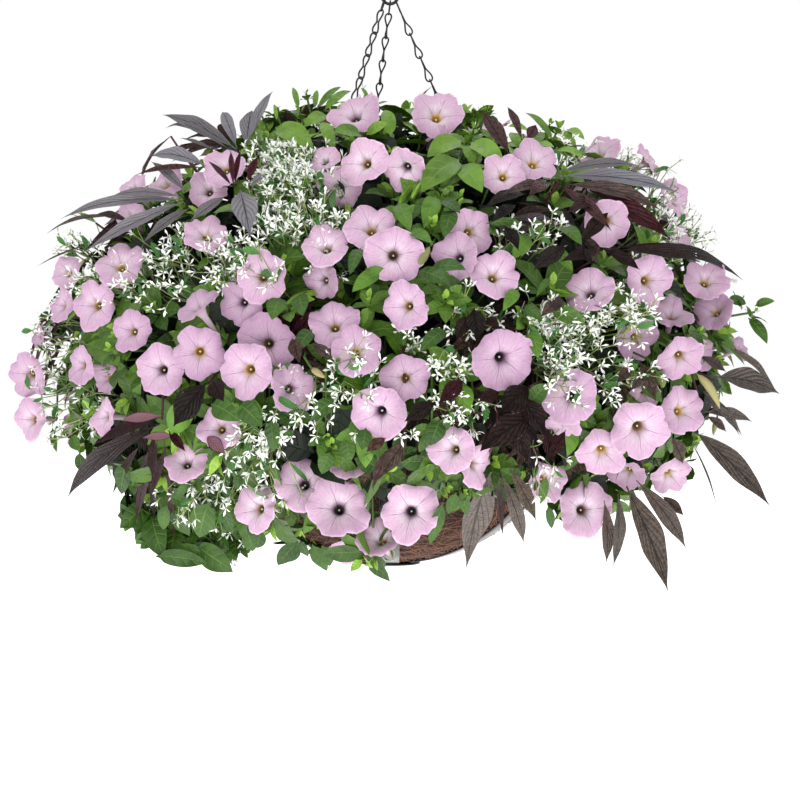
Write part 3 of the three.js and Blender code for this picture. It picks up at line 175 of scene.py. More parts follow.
# Patches of white euphorbia seen in the photograph: column, row, half width, half height, number of sprays
EUPHORBIA_PATCHES = np.array([
    (296, 196, 48, 44, 62), (270, 172, 22, 24, 16), (304, 226, 42, 20, 20), (186, 262, 60, 20, 15),
    (110, 262, 60, 34, 15), (74, 262, 16, 24, 5), (150, 290, 50, 16, 8), (236, 254, 26, 20, 7),
    (70, 392, 30, 48, 12), (56, 338, 22, 26, 10), (250, 462, 36, 36, 14), (222, 480, 24, 20, 5),
    (325, 382, 28, 16, 8), (300, 420, 24, 20, 4), (455, 392, 34, 36, 13), (430, 350, 22, 22, 5),
    (572, 338, 52, 26, 26), (540, 310, 24, 20, 7), (620, 366, 26, 20, 7), (534, 236, 28, 44, 8),
    (662, 170, 30, 24, 8), (668, 214, 22, 22, 8), (682, 236, 18, 24, 5), (192, 512, 42, 36, 10),
    (230, 540, 22, 22, 3), (600, 312, 30, 16, 7), (560, 376, 30, 20, 6), (270, 440, 30, 16, 6),
    (380, 440, 30, 16, 3), (548, 456, 20, 22, 3), (640, 262, 26, 14, 4), (70, 244, 12, 8, 2), (480, 330, 20, 26, 4),
    (356, 372, 20, 12, 4), (590, 160, 26, 14, 3), (640, 320, 18, 12, 3),
], float)

# Euphorbia sprays that hang in front of flowers
SEEN_OVER_BLOOMS = np.array([
    (256, 264), (266, 270), (304, 402), (572, 376), (562, 382), (362, 402), (652, 324), (638, 332), (356, 366),
], float)

# Outline of the leafy mass in the photograph, and the part of the basket that shows under it
MASS_OUTLINE = np.array([
    (40, 330), (42, 290), (58, 262), (86, 240), (104, 208), (150, 178), (196, 158), (226, 128), (252, 112),
    (284, 100), (330, 90), (372, 100), (404, 104), (440, 96), (484, 106), (520, 118), (560, 124), (590, 142),
    (640, 152), (684, 176), (702, 204), (716, 240), (740, 268), (746, 300), (744, 350), (736, 400), (716, 446),
    (690, 486), (650, 508), (610, 520), (560, 516), (540, 506), (500, 500), (470, 506), (446, 528), (410, 518),
    (392, 524), (372, 534), (340, 538), (300, 542), (262, 524), (232, 548), (186, 548), (150, 538), (130, 506),
    (96, 474), (70, 436), (32, 430), (16, 404), (16, 362),
], float)
BASKET_WINDOW = np.array([
    (382, 546), (384, 574), (476, 574), (552, 528), (540, 500), (480, 506), (450, 516), (424, 548), (404, 544),
], float)

# The planting's crest, where a flower that stands behind it barely shows
CREST = np.array([(280, 112), (540, 112), (600, 150), (620, 190), (190, 190), (230, 140)], float)

# Where broad leaves hang at the lower left
HANGING_OUTLINE = np.array([
    (124, 462), (126, 520), (150, 546), (200, 556), (232, 552), (262, 536), (262, 512), (236, 500), (214, 486),
    (170, 484), (150, 462),
], float)


def unit(vectors: Array) -> Array:
    """Each vector divided by its own length."""
    return vectors / np.maximum(np.linalg.norm(vectors, axis=-1, keepdims=True), 1e-9)


def level_frame(normal: Array) -> tuple[Array, Array]:
    """Two unit vectors square to each normal: one level, and one that completes a right-handed set.

    Args:
        normal: unit vectors, (..., 3).

    Returns:
        Both vectors for each normal.
    """
    nearly_upright = np.abs(normal[..., 2:]) > 0.97
    hint = np.where(nearly_upright, AWAY, UP)
    across = unit(np.cross(hint, normal))
    return across, np.cross(normal, across)


def around(count: int) -> Array:
    """Angles that divide a full turn evenly."""
    return np.linspace(0, TURN, count, endpoint=False)


def upright(radius: Array | float, angle: Array, height: Array | float) -> Array:
    """Points at distances and angles about the vertical axis, and at heights."""
    return np.stack(np.broadcast_arrays(radius * np.cos(angle), radius * np.sin(angle), height), axis=-1)


def swung(first: Array, second: Array, angle: Array) -> Array:
    """Unit vectors turned by angles from a first one towards a second that is square to it."""
    return first * np.cos(angle)[..., None] + second * np.sin(angle)[..., None]


def within(points: Array, outline: Array) -> Array:
    """Whether each point lies inside a closed outline, by the number of edges a level ray crosses.

    Args:
        points: columns and rows, (n, 2).
        outline: corners in order, (m, 2).

    Returns:
        One truth value for each point.
    """
    x, y = points[:, :1], points[:, 1:]
    ax, ay = outline[:, 0], outline[:, 1]
    bx, by = np.roll(ax, -1), np.roll(ay, -1)
    spans = (ay > y) != (by > y)
    reach = ax + (y - ay) * (bx - ax) / np.where(by == ay, 1e-9, by - ay)
    return (spans & (x < reach)).sum(axis=1) % 2 == 1


def repeatable(seed: int, skip: int = 0) -> Iterator[float]:
    """A stream of numbers from 0 to 1: a 32-bit counter, mixed by products and shifts, as in the solids' source.

    Args:
        seed: the counter's start.
        skip: how many numbers are left out first.

    Yields:
        One number after the other.
    """
    full, step = 0xFFFFFFFF, 0x6D2B79F5
    state = seed + skip * step
    while True:
        state = (state + step) & full
        mixed = ((state ^ (state >> 15)) * (state | 1)) & full
        mixed ^= (mixed + (mixed ^ (mixed >> 7)) * (mixed | 61)) & full
        yield ((mixed ^ (mixed >> 14)) & full) / (full + 1)


@dataclass(frozen=True)
class Dome:
    """The rounded heap that the planting fills: half an ellipsoid above a level circle and a flatter one below."""

    height: float = -459.0
    radius: float = 350.0
    rise: float = 275.0
    drop: float = 178.0
    # Bearings are tried at 2.6 times the number wanted, since those on the shown half are passed over
    spare: float = 2.6
    # How far behind the axis a bearing on the far half lies at least, as a share of the radius
    hidden: float = 0.12

    def at(self, azimuth: Array, tilt: Array, swell: Array | float = 1.0) -> Array:
        """Points at bearings from the dome's middle: radius times the tilt's sine, height times its cosine.

        Args:
            azimuth: bearings round the axis, in radians.
            tilt: bearings down from the top, in radians.
            swell: how far the dome is swollen.

        Returns:
            Points, (..., 3).
        """
        tall = np.where(np.cos(tilt) > 0, self.rise, self.drop)
        level = swell * self.radius * np.sin(tilt)
        high = self.height + swell * tall * np.cos(tilt)
        return upright(level, azimuth, high)

    def outward(self, points: Array) -> Array:
        """Unit normals of the swollen dome through each point.

        Args:
            points: places, (n, 3).

        Returns:
            Unit vectors, one for each point.
        """
        tall = np.where(points[..., 2] > self.height, self.rise, self.drop)
        normal = points.copy()
        normal[..., :2] /= self.radius ** 2
        normal[..., 2] = (points[..., 2] - self.height) / tall ** 2
        return unit(normal)

    def bearing(self, points: Array) -> tuple[Array, Array]:
        """Azimuth and tilt of each point as seen from the dome's middle.

        Args:
            points: places, (n, 3).

        Returns:
            Azimuths and tilts, in radians.
        """
        tall = np.where(points[:, 2] > self.height, self.rise, self.drop)
        level = np.hypot(points[:, 0], points[:, 1]) / self.radius
        return np.arctan2(points[:, 1], points[:, 0]), np.arctan2(level, (points[:, 2] - self.height) / tall)

    def behind(self, count: int, lowest: float, draw: Iterator[float]) -> tuple[Array, Array]:
        """Bearings over the half that the photograph doesn't show, at the places where the solids have theirs.

        Args:
            count: how many bearings.
            lowest: the largest tilt, in degrees.
            draw: the repeatable stream, which gives one number for each bearing tried.

        Returns:
            Azimuths and tilts, (count,) each.
        """
        kept = []
        for index in range(int(4 * self.spare * count)):
            part = ((index + 0.5) / (self.spare * count)) % 1
            tilt = math.acos(1 - part * (1 - math.cos(math.radians(lowest))))
            azimuth = math.pi * (3 - math.sqrt(5)) * index + 0.3 * (next(draw) - 0.5)
            if math.sin(azimuth) * math.sin(tilt) > self.hidden:
                kept.append((azimuth, tilt))
            if len(kept) == count:
                break
        return tuple(np.array(kept).T)

    def scatter(self, count: int, lowest: float, draw: np.random.Generator) -> tuple[Array, Array]:
        """Evenly spread bearings on a golden-angle spiral, each shaken a little.

        Args:
            count: how many.
            lowest: the largest tilt, in degrees.
            draw: the stream of random numbers.

        Returns:
            Azimuths and tilts, in radians.
        """
        part = (np.arange(count) + 0.5) / count
        tilt = np.arccos(1 - part * (1 - math.cos(math.radians(lowest))))
        azimuth = np.arange(count) * math.pi * (3 - math.sqrt(5))
        shake = 1.1 / math.sqrt(count)
        return azimuth + draw.uniform(-shake, shake, count), tilt + draw.uniform(-shake, shake, count)


@dataclass(frozen=True)
class PhotoView:
    """The photograph's viewpoint: level, 1 mm to a pixel at the basket's axis."""

    column: float = 390.0
    row: float = 375.0
    distance: float = 2200.0
    offset: float = 10.0
    frame_size: float = 800.0
    sensor: float = 36.0

    def seen(self, dome: Dome, place: Array, swell: Array | float = 1.0) -> Array:
        """The dome's points behind pixels, by the first root of the ray's quadratic, or its nearest approach.

        Args:
            dome: the planting's dome.
            place: columns and rows, (n, 2).
            swell: how far the dome is swollen.

        Returns:
            Points in millimetres, (n, 3).
        """
        place = np.atleast_2d(place)
        swell = np.broadcast_to(swell, len(place))
        eye = np.array([self.offset, -self.distance, dome.height])
        target = np.stack(
            [place[:, 0] - self.column, np.zeros(len(place)), dome.height - (place[:, 1] - self.row)], axis=-1)
        tall = np.where(target[:, 2] > dome.height, dome.rise, dome.drop)
        scale = np.stack([np.full(len(place), dome.radius)] * 2 + [tall], axis=-1) * swell[:, None]
        ray = target - eye
        start = np.array([eye[0], eye[1], 0.0]) / scale
        way = ray / scale
        a, b, c = (way * way).sum(axis=1), (start * way).sum(axis=1), (start * start).sum(axis=1) - 1
        inside = b * b - a * c
        part = np.where(inside > 0, (-b - np.sqrt(np.maximum(inside, 0))) / a, -b / a)
        return eye + ray * part[:, None]

    def places(self, dome: Dome, points: Array) -> Array:
        """Columns and rows at which points show.

        Args:
            dome: the planting's dome.
            points: places, (n, 3).

        Returns:
            Pixels, (n, 2).
        """
        nearer = self.distance / (self.distance + points[:, 1])
        column = self.column + self.offset + (points[:, 0] - self.offset) * nearer
        return np.stack([column, self.row - (points[:, 2] - dome.height) * nearer], axis=-1)

    def slid(self, dome: Dome, points: Array, depth: Array) -> Array:
        """Points moved along their lines of sight to given depths, so that they show where they did."""
        eye = np.array([self.offset, -self.distance, dome.height])
        return eye + (points - eye) * ((depth + self.distance) / (points[:, 1] + self.distance))[:, None]

    def spread(self, points: Array) -> Array:
        """How many millimetres a pixel covers at each point's distance."""
        return (self.distance + points[..., 1]) / self.distance


DOME = Dome()
PHOTO = PhotoView()


def before_bowl(points: Array, depth: float) -> Array:
    """Whether points nearer than a depth would hide the part of the bowl that shows."""
    return within(PHOTO.places(DOME, points), BASKET_WINDOW) & (points[:, 1] < depth)


@dataclass
class Surface:
    """Points in millimetres, the quads between them, and a UV place and a tint of four numbers for each point."""

    points: Array
    quads: Array
    uv: Array
    tint: Array

    @staticmethod
    def joined(parts: list["Surface"]) -> "Surface":
        """One surface from several, with the quads counted on."""
        starts = np.cumsum([0] + [len(part.points) for part in parts[:-1]])
        return Surface(
            np.concatenate([part.points for part in parts]),
            np.concatenate([part.quads + start for part, start in zip(parts, starts)]),
            np.concatenate([part.uv for part in parts]),
            np.concatenate([part.tint for part in parts]),
        )

    def put(self, name: str, finish: bpy.types.Material) -> bpy.types.Object:
        """Makes the mesh object, in metres, smooth, with its UV map and tint, and links it to the scene.

        Args:
            name: the piece's name.
            finish: its material.

        Returns:
            The new object, at the origin.
        """
        mesh = bpy.data.meshes.new(name)
        count = len(self.quads)
        mesh.vertices.add(len(self.points))
        mesh.loops.add(4 * count)
        mesh.polygons.add(count)
        mesh.vertices.foreach_set("co", (self.points * 0.001).astype(np.float32).ravel())
        mesh.loops.foreach_set("vertex_index", self.quads.astype(np.int32).ravel())
        mesh.polygons.foreach_set("loop_start", np.arange(0, 4 * count, 4, dtype=np.int32))
        mesh.polygons.foreach_set("use_smooth", np.ones(count, bool))
        mesh.uv_layers.new(name="surface")
        mesh.uv_layers["surface"].data.foreach_set("uv", self.uv[self.quads.ravel()].astype(np.float32).ravel())
        tint = mesh.attributes.new("tint", "FLOAT_COLOR", "POINT")
        tint.data.foreach_set("color", self.tint.astype(np.float32).ravel())
        mesh.update(calc_edges=True)
        mesh.validate()
        mesh.materials.append(finish)
        piece = bpy.data.objects.new(name, mesh)
        bpy.context.scene.collection.objects.link(piece)
        return piece


def lattice(grid: Array, uv: Array, tint: Array, wrap: bool = False, flip: bool = False) -> Surface:
    """Surfaces from grids of points, with quads between neighbours.

    Args:
        grid: points, (pieces, rows, columns, 3). Columns run to the right and rows run up, seen from outside.
        uv: (rows, columns, 2), or the same for each piece.
        tint: four numbers for each piece, (pieces, 4).
        wrap: whether the last column joins the first.
        flip: whether the faces are turned over.

    Returns:
        One surface that holds them all.
    """
    pieces, rows, columns, _ = grid.shape
    spans = columns if wrap else columns - 1
    right = (np.arange(spans) + 1) % columns
    left = np.arange(spans)
    low = np.arange(rows - 1)[:, None] * columns
    quads = np.stack([low + left, low + right, low + columns + right, low + columns + left], axis=-1)
    if flip:
        quads = quads[..., ::-1]
    starts = np.arange(pieces)[:, None, None] * rows * columns
    quads = (quads.reshape(1, -1, 4) + starts).reshape(-1, 4)
    uv = np.broadcast_to(uv, (pieces, rows, columns, 2)).reshape(-1, 2)
    return Surface(grid.reshape(-1, 3), quads, uv, np.repeat(tint, rows * columns, axis=0))


@dataclass(frozen=True)
class LeafForm:
    """How one kind of blade is cut: half width is sin(pi t^peak), raised to a power that goes from full at the
    base to keen at the tip, after a narrow stalk."""

    peak: float = 0.8
    full: float = 0.8
    keen: float = 1.0
    stalk: float = 0.0
    fold: float = 0.3
    ripple: float = 0.06
    waves: float = 2.0
    sag: float = 0.0

    def half_widths(self, along: Array) -> Array:
        """Half width along the blade, from 0 at the tip to 1 at the broadest place.

        Args:
            along: shares of the length.

        Returns:
            Half widths, one for each share.
        """
        blade = np.clip((along - self.stalk) / (1 - self.stalk), 0, 1)
        power = self.full + (self.keen - self.full) * blade
        wide = np.maximum(np.sin(math.pi * blade ** self.peak), 0) ** power
        return np.where(along < 0.999, np.maximum(wide, 0.06), 0.0)


OVATE = LeafForm(peak=0.8, full=0.5, keen=0.85, stalk=0.08, fold=0.18, ripple=0.04, waves=1.3, sag=0.14)
LANCE = LeafForm(peak=0.95, full=0.9, keen=1.5, stalk=0.05, fold=0.3, ripple=0.045, waves=2.6, sag=0.1)
BRACT = LeafForm(peak=2.0, full=0.9, keen=0.6, fold=0.2, ripple=0.1, waves=0.6, sag=0.1)
ELLIPTIC = LeafForm(peak=0.95, full=0.7, keen=0.9, stalk=0.08, fold=0.2, ripple=0.03, waves=1.0, sag=0.1)
STRAND = LeafForm(peak=1.0, full=0.3, keen=0.3, fold=0.0, ripple=0.0)


def blades(
    base: Array, tip: Array, normal: Array, width: Array, arch: Array | float, form: LeafForm, tint: Array,
    draw: np.random.Generator, rows: int = 7, columns: int = 5, thickness: float = 0.0,
) -> Surface:
    """Leaf blades. The middle line runs from base to tip, bowed along the normal by arch times the length times
    sin(pi t), and upwards by the form's sag. Across it, the sides curve up by the fold and wave at the margin.

    Args:
        base: where each blade starts, (n, 3).
        tip: where it ends, (n, 3).
        normal: which way its upper side looks, (n, 3).
        width: its full width, (n,).
        arch: its bow as a share of its length, (n,) or one for all.
        form: how it is cut.
        tint: four numbers for each blade, (n, 4). The last becomes 1 on an underside.
        draw: the stream of random numbers.
        rows: stations along the blade.
        columns: stations across it.
        thickness: how far an underside lies below the upper side. With 0 there is none.

    Returns:
        One surface for them all.
    """
    along = np.linspace(0, 1, rows)
    across = np.linspace(-1, 1, columns)
    run = tip - base
    length = np.linalg.norm(run, axis=1)
    run_way = unit(run)
    square = unit(normal - run_way * (normal * run_way).sum(axis=1, keepdims=True))
    bow = square[:, None] * (arch * length)[:, None, None]
    middle = base[:, None] + run[:, None] * along[:, None] + bow * np.sin(math.pi * along)[:, None]
    middle[..., 2] += form.sag * length[:, None] * (along - along ** 2.5)
    tangent = run[:, None] + bow * math.pi * np.cos(math.pi * along)[:, None]
    tangent[..., 2] += form.sag * length[:, None] * (1 - 2.5 * along ** 1.5)
    tangent = unit(tangent)
    side = unit(np.cross(tangent, square[:, None]))
    up = np.cross(side, tangent)
    cut = form.half_widths(along)
    half = 0.5 * width[:, None] * cut
    phase = draw.uniform(0, TURN, (2, len(base), 1, 1))
    turn = TURN * form.waves * along[:, None]
    wave = np.where(across < 0, np.sin(turn + phase[0]), np.sin(1.13 * turn + phase[1])) * across ** 2
    rise = half[..., None] * form.fold * np.abs(across) ** 1.4
    rise = rise + form.ripple * width[:, None, None] * wave * cut[:, None] ** 0.5
    grid = middle[:, :, None] + side[:, :, None] * (half[..., None] * across)[..., None]
    grid = grid + up[:, :, None] * rise[..., None]
    uv = np.stack(np.broadcast_arrays(across * 0.5 + 0.5, along[:, None]), axis=-1)
    upper = lattice(grid, uv, tint)
    if thickness == 0.0:
        return upper
    depth = thickness * (1 - across ** 2)[:, None] * np.minimum(1, 4 * cut)[:, None, None]
    below = tint.copy()
    below[:, 3] = 1.0
    return Surface.joined([upper, lattice(grid - up[:, :, None] * depth, uv, below, flip=True)])


def tubes(paths: Array, radii: Array | float, sides: int, tint: Array, closed: bool = False) -> Surface:
    """Round wires or stems: a circle carried along each path, on axes square to the path's own direction.

    Args:
        paths: (n, stations, 3).
        radii: (n, stations), or fewer that serve for all. They are 0 at an end that is closed to a point.
        sides: corners of the circle.
        tint: four numbers for each tube, (n, 4).
        closed: whether each path is a ring, whose last station is next to its first.

    Returns:
        One surface for them all.
    """
    if closed:
        way = unit(np.roll(paths, -1, axis=1) - np.roll(paths, 1, axis=1))
        hint = unit(np.cross(paths[:, 0] - paths.mean(axis=1), way[:, 0]) + 1e-9)
    else:
        way = unit(np.gradient(paths, axis=1))
        spine = unit(paths[:, -1] - paths[:, 0] + 1e-6)
        hint = np.where(np.abs(spine[:, 2:]) > 0.8, LEVEL_HINT, UP)
    first = unit(np.cross(way, hint[:, None]))
    second = np.cross(way, first)
    angle = around(sides)
    circle = swung(first[:, :, None], second[:, :, None], angle)
    grid = paths[:, :, None] + circle * np.broadcast_to(radii, paths.shape[:2])[..., None, None]
    uv = np.stack(np.broadcast_arrays(angle / TURN, np.linspace(0, 1, paths.shape[1])[:, None]), axis=-1)
    if closed:
        grid = np.concatenate([grid, grid[:, :1]], axis=1)
        uv = np.concatenate([uv, uv[:1]], axis=0)
    return lattice(grid, uv, tint, wrap=True)


def beads(middle: Array, way: Array, half_length: float, radius: float, rows: int, sides: int,
          tint: Array) -> Surface:
    """Small balls drawn out along a direction: circles of radius cos(rise) at heights sin(rise), from -90 to 90
    degrees.

    Args:
        middle: their middles, (n, 3).
        way: their directions, (n, 3).
        half_length: from the middle to an end.
        radius: the middle circle's.
        rows: how many circles.
        sides: corners of a circle.
        tint: four numbers for each, (n, 4).

    Returns:
        One surface for them all.
    """
    rise = np.linspace(-math.pi / 2, math.pi / 2, rows)
    paths = middle[:, None] + way[:, None] * (half_length * np.sin(rise))[:, None]
    return tubes(paths, radius * np.cos(rise), sides, tint)


def bezier(corners: list[Array], stations: int) -> Array:
    """Cubic curves through stations: (1-t)^3 A + 3(1-t)^2 t B + 3(1-t) t^2 C + t^3 D.

    Args:
        corners: the curves' first, second, third and fourth corners, (n, 3) each.
        stations: points along each curve.

    Returns:
        Points, (n, stations, 3).
    """
    t = np.linspace(0, 1, stations)[:, None]
    a, b, c, d = (corner[:, None] for corner in corners)
    return (1 - t) ** 3 * a + 3 * (1 - t) ** 2 * t * b + 3 * (1 - t) * t ** 2 * c + t ** 3 * d


def tints(count: int, draw: np.random.Generator, kind: Array | float = 0.0) -> Array:
    """Four numbers for each of several shapes: two random ones, their kind, and 0 for an upper side.

    Args:
        count: how many shapes.
        draw: the stream of random numbers.
        kind: the third number, for all or for each.

    Returns:
        The tints, (count, 4).
    """
    rows = np.zeros((count, 4))
    rows[:, :2] = draw.random((count, 2))
    rows[:, 2] = kind
    return rows


def linear(colour: str) -> tuple[float, float, float, float]:
    """An sRGB hex colour as linear red, green, blue and alpha 1."""
    parts = [int(colour[start:start + 2], 16) / 255 for start in (1, 3, 5)]
    return tuple(v / 12.92 if v <= 0.04045 else ((v + 0.055) / 1.055) ** 2.4 for v in parts) + (1.0,)


class Kind(Enum):
    """The kinds of node used here: type, inputs that values fill in turn, outputs, and settings."""

    SUM = ("Math", (0, 1), (0,), {"operation": "ADD"})
    LESS = ("Math", (0, 1), (0,), {"operation": "SUBTRACT"})
    TIMES = ("Math", (0, 1), (0,), {"operation": "MULTIPLY"})
    TIMES_PLUS = ("Math", (0, 1, 2), (0,), {"operation": "MULTIPLY_ADD"})
    UNSIGNED = ("Math", (0,), (0,), {"operation": "ABSOLUTE"})
    REST = ("Math", (0,), (0,), {"operation": "FRACT"})
    LARGER = ("Math", (0, 1), (0,), {"operation": "MAXIMUM"})
    # A value eased from one span (inputs 1 and 2) to another (3 and 4), and held within it
    EASE = ("MapRange", (0, 1, 2, 3, 4), (0,), {"interpolation_type": "SMOOTHSTEP"})
    MIX = ("Mix", (0, 6, 7), (2,), {"data_type": "RGBA", "blend_type": "MIX"})
    DARKEN = ("Mix", (0, 6, 7), (2,), {"data_type": "RGBA", "blend_type": "MULTIPLY"})
    RAMP = ("ValToRGB", (0,), (0,), {})
    NOISE = ("TexNoise", ("Vector", "Scale", "Detail"), (0,), {})
    FLAT_NOISE = ("TexNoise", ("Vector", "Scale", "Detail"), (0,), {"noise_dimensions": "2D"})
    CELLS = ("TexVoronoi", ("Vector", "Scale"), (0,), {})
    DRAWN_OUT = ("Mapping", (0, 2, 3), (0,), {})
    OBJECT_PLACE = ("TexCoord", (), ("Object",), {})
    UV_PLACE = ("UVMap", (), (0,), {"uv_map": "surface"})
    TINT = ("VertexColor", (), (0, 1), {"layer_name": "tint"})
    AXES = ("SeparateXYZ", (0,), (0, 1, 2), {})
    CHANNELS = ("SeparateColor", (0,), (0, 1, 2), {})
    BUMP = ("Bump", ("Strength", "Distance", "Height"), (0,), {})
    SURFACE = ("BsdfPrincipled", (), (0,), {})
    MATERIAL = ("OutputMaterial", ("Surface",), (), {})
    CAMERA_RAY = ("LightPath", (), ("Is Camera Ray",), {})
    SKY = ("Background", ("Color", "Strength"), (0,), {})
    WORLD = ("OutputWorld", ("Surface",), (), {})


def add_node(tree: bpy.types.NodeTree, kind: Kind, *values: object, ramp: tuple = (), **named: object) -> object:
    """Adds a node, with its settings and its links.

    Args:
        tree: the tree that it goes into.
        kind: the kind of node.
        values: for each of the kind's inputs in turn, a value, a hex colour, or an output socket to link.
        ramp: a colour ramp's stops, as (place, hex colour).
        named: the same as values, for inputs by name, with _ for a space.

    Returns:
        The output socket, or a list of them where the kind has several or none.
    """
    word, inputs, outputs, settings = kind.value
    node = tree.nodes.new("ShaderNode" + word)
    for name, value in settings.items():
        setattr(node, name, value)
    while ramp and len(node.color_ramp.elements) < len(ramp):
        node.color_ramp.elements.new(0.5)
    for stop, (place, colour) in zip(node.color_ramp.elements if ramp else (), ramp):
        stop.position, stop.color = place, linear(colour)
    for name, value in [*zip(inputs, values), *((name.replace("_", " "), named[name]) for name in named)]:
        if isinstance(value, bpy.types.NodeSocket):
            tree.links.new(value, node.inputs[name])
        else:
            node.inputs[name].default_value = linear(value) if isinstance(value, str) else value
    sockets = [node.outputs[name] for name in outputs]
    return sockets[0] if len(sockets) == 1 else sockets


def new_finish(name: str) -> tuple[bpy.types.Material, Callable]:
    """An empty material, and the function that adds nodes to it.

    Args:
        name: the material's name.

    Returns:
        The material and the function.
    """
    material = bpy.data.materials.new(name)
    material.use_nodes = True
    material.node_tree.nodes.clear()
    return material, partial(add_node, material.node_tree)


@dataclass(frozen=True)
class PetalVelvet:
    """Petunia petal: thin translucent tissue with a velvet of cone cells, so it is bright, matt and soft.
    Pigment is thicker along the veins and in the throat, and thins to nearly white in a star outside it."""

    pale: str = "#eedfe9"
    middle: str = "#dfc1d5"
    edge: str = "#d2acc8"
    margin: str = "#e5cddd"
    shade: str = "#9f7b9b"
    vein: str = "#77457c"
    gold: str = "#c79a2c"
    gold_rim: str = "#e6cf8e"
    purple: str = "#24101c"
    purple_rim: str = "#8d6088"
    roughness: float = 0.62
    # Side veins of each half lobe: where each starts, how far it spreads, and its strength
    side_veins: tuple = ((0.05, 0.2, 0.5), (0.12, 0.36, 0.4), (0.24, 0.34, 0.25))

    def build(self) -> bpy.types.Material:
        """Colours by UV: x counts lobes from notch to notch, y is the share of the face's radius. The tint's first
        number deepens the lilac, partly as random tone and partly as painted shade, and its third darkens the
        throat.

        Returns:
            The material.
        """
        material, add = new_finish("petunia_petal")
        place = add(Kind.UV_PLACE)
        sway = add(Kind.TIMES, add(Kind.LESS, add(Kind.FLAT_NOISE, place, 4.0, 2.0), 0.5), 0.1)
        x, y, _ = add(Kind.AXES, place)
        off = add(Kind.UNSIGNED, add(Kind.LESS, add(Kind.REST, add(Kind.SUM, x, sway)), 0.5))
        arc = add(Kind.TIMES, y, 1.2566)
        deep, _, dark = add(Kind.CHANNELS, add(Kind.TINT)[0])
        veins = add(Kind.EASE, add(Kind.TIMES, off, arc), 0.006, 0.024, 1.0, 0.0)
        for start, spread, strength in self.side_veins:
            line = add(Kind.TIMES_PLUS, y, spread, start)
            gap = add(Kind.TIMES, add(Kind.UNSIGNED, add(Kind.LESS, off, line)), arc)
            veins = add(Kind.LARGER, veins, add(Kind.EASE, gap, 0.002, 0.018, strength, 0.0))
        veins = add(Kind.TIMES, veins, add(Kind.EASE, y, 0.2, 0.95, 0.9, 0.2))
        body = add(Kind.RAMP, y, ramp=(
            (0.2, self.pale), (0.36, self.pale), (0.56, self.middle), (0.93, self.edge), (1.0, self.margin)))
        # Deeper lilac towards the shade colour by the tint's first number: partly random tone, partly painted shade
        lilac = add(Kind.MIX, add(Kind.EASE, y, 0.2, 1.0, 0.4, 0.8), self.middle, self.shade)
        body = add(Kind.MIX, add(Kind.TIMES, deep, 0.95), body, lilac)
        streak = add(
            Kind.FLAT_NOISE, add(Kind.DRAWN_OUT, place, (0.0, 0.0, 0.0), (9.0, 1.2, 1.0)), 4.0, 3.0)
        body = add(Kind.DARKEN, add(Kind.EASE, streak, 0.4, 0.75, 0.0, 0.4), body, self.edge)
        body = add(Kind.MIX, add(Kind.TIMES, veins, 0.75), body, self.vein)
        throat = add(Kind.MIX, dark, self.gold, self.purple)
        rim = add(Kind.MIX, dark, self.gold_rim, self.purple_rim)
        ray = add(Kind.TIMES_PLUS, streak, 0.16, add(Kind.TIMES_PLUS, y, 1.0, -0.08))
        body = add(Kind.MIX, add(Kind.EASE, ray, 0.17, 0.29, 0.75, 0.0), body, rim)
        body = add(Kind.MIX, add(Kind.EASE, ray, 0.145, 0.2, 1.0, 0.0), body, throat)
        relief = add(Kind.LESS, add(Kind.TIMES, streak, 0.6), veins)
        add(Kind.MATERIAL, add(
            Kind.SURFACE, Base_Color=body, Normal=add(Kind.BUMP, 0.5, 0.0007, relief),
            Roughness=self.roughness, Specular_IOR_Level=0.3, Sheen_Weight=0.12, Subsurface_Weight=0.12,
            Subsurface_Radius=(0.9, 0.6, 0.9), Subsurface_Scale=0.002))
        return material


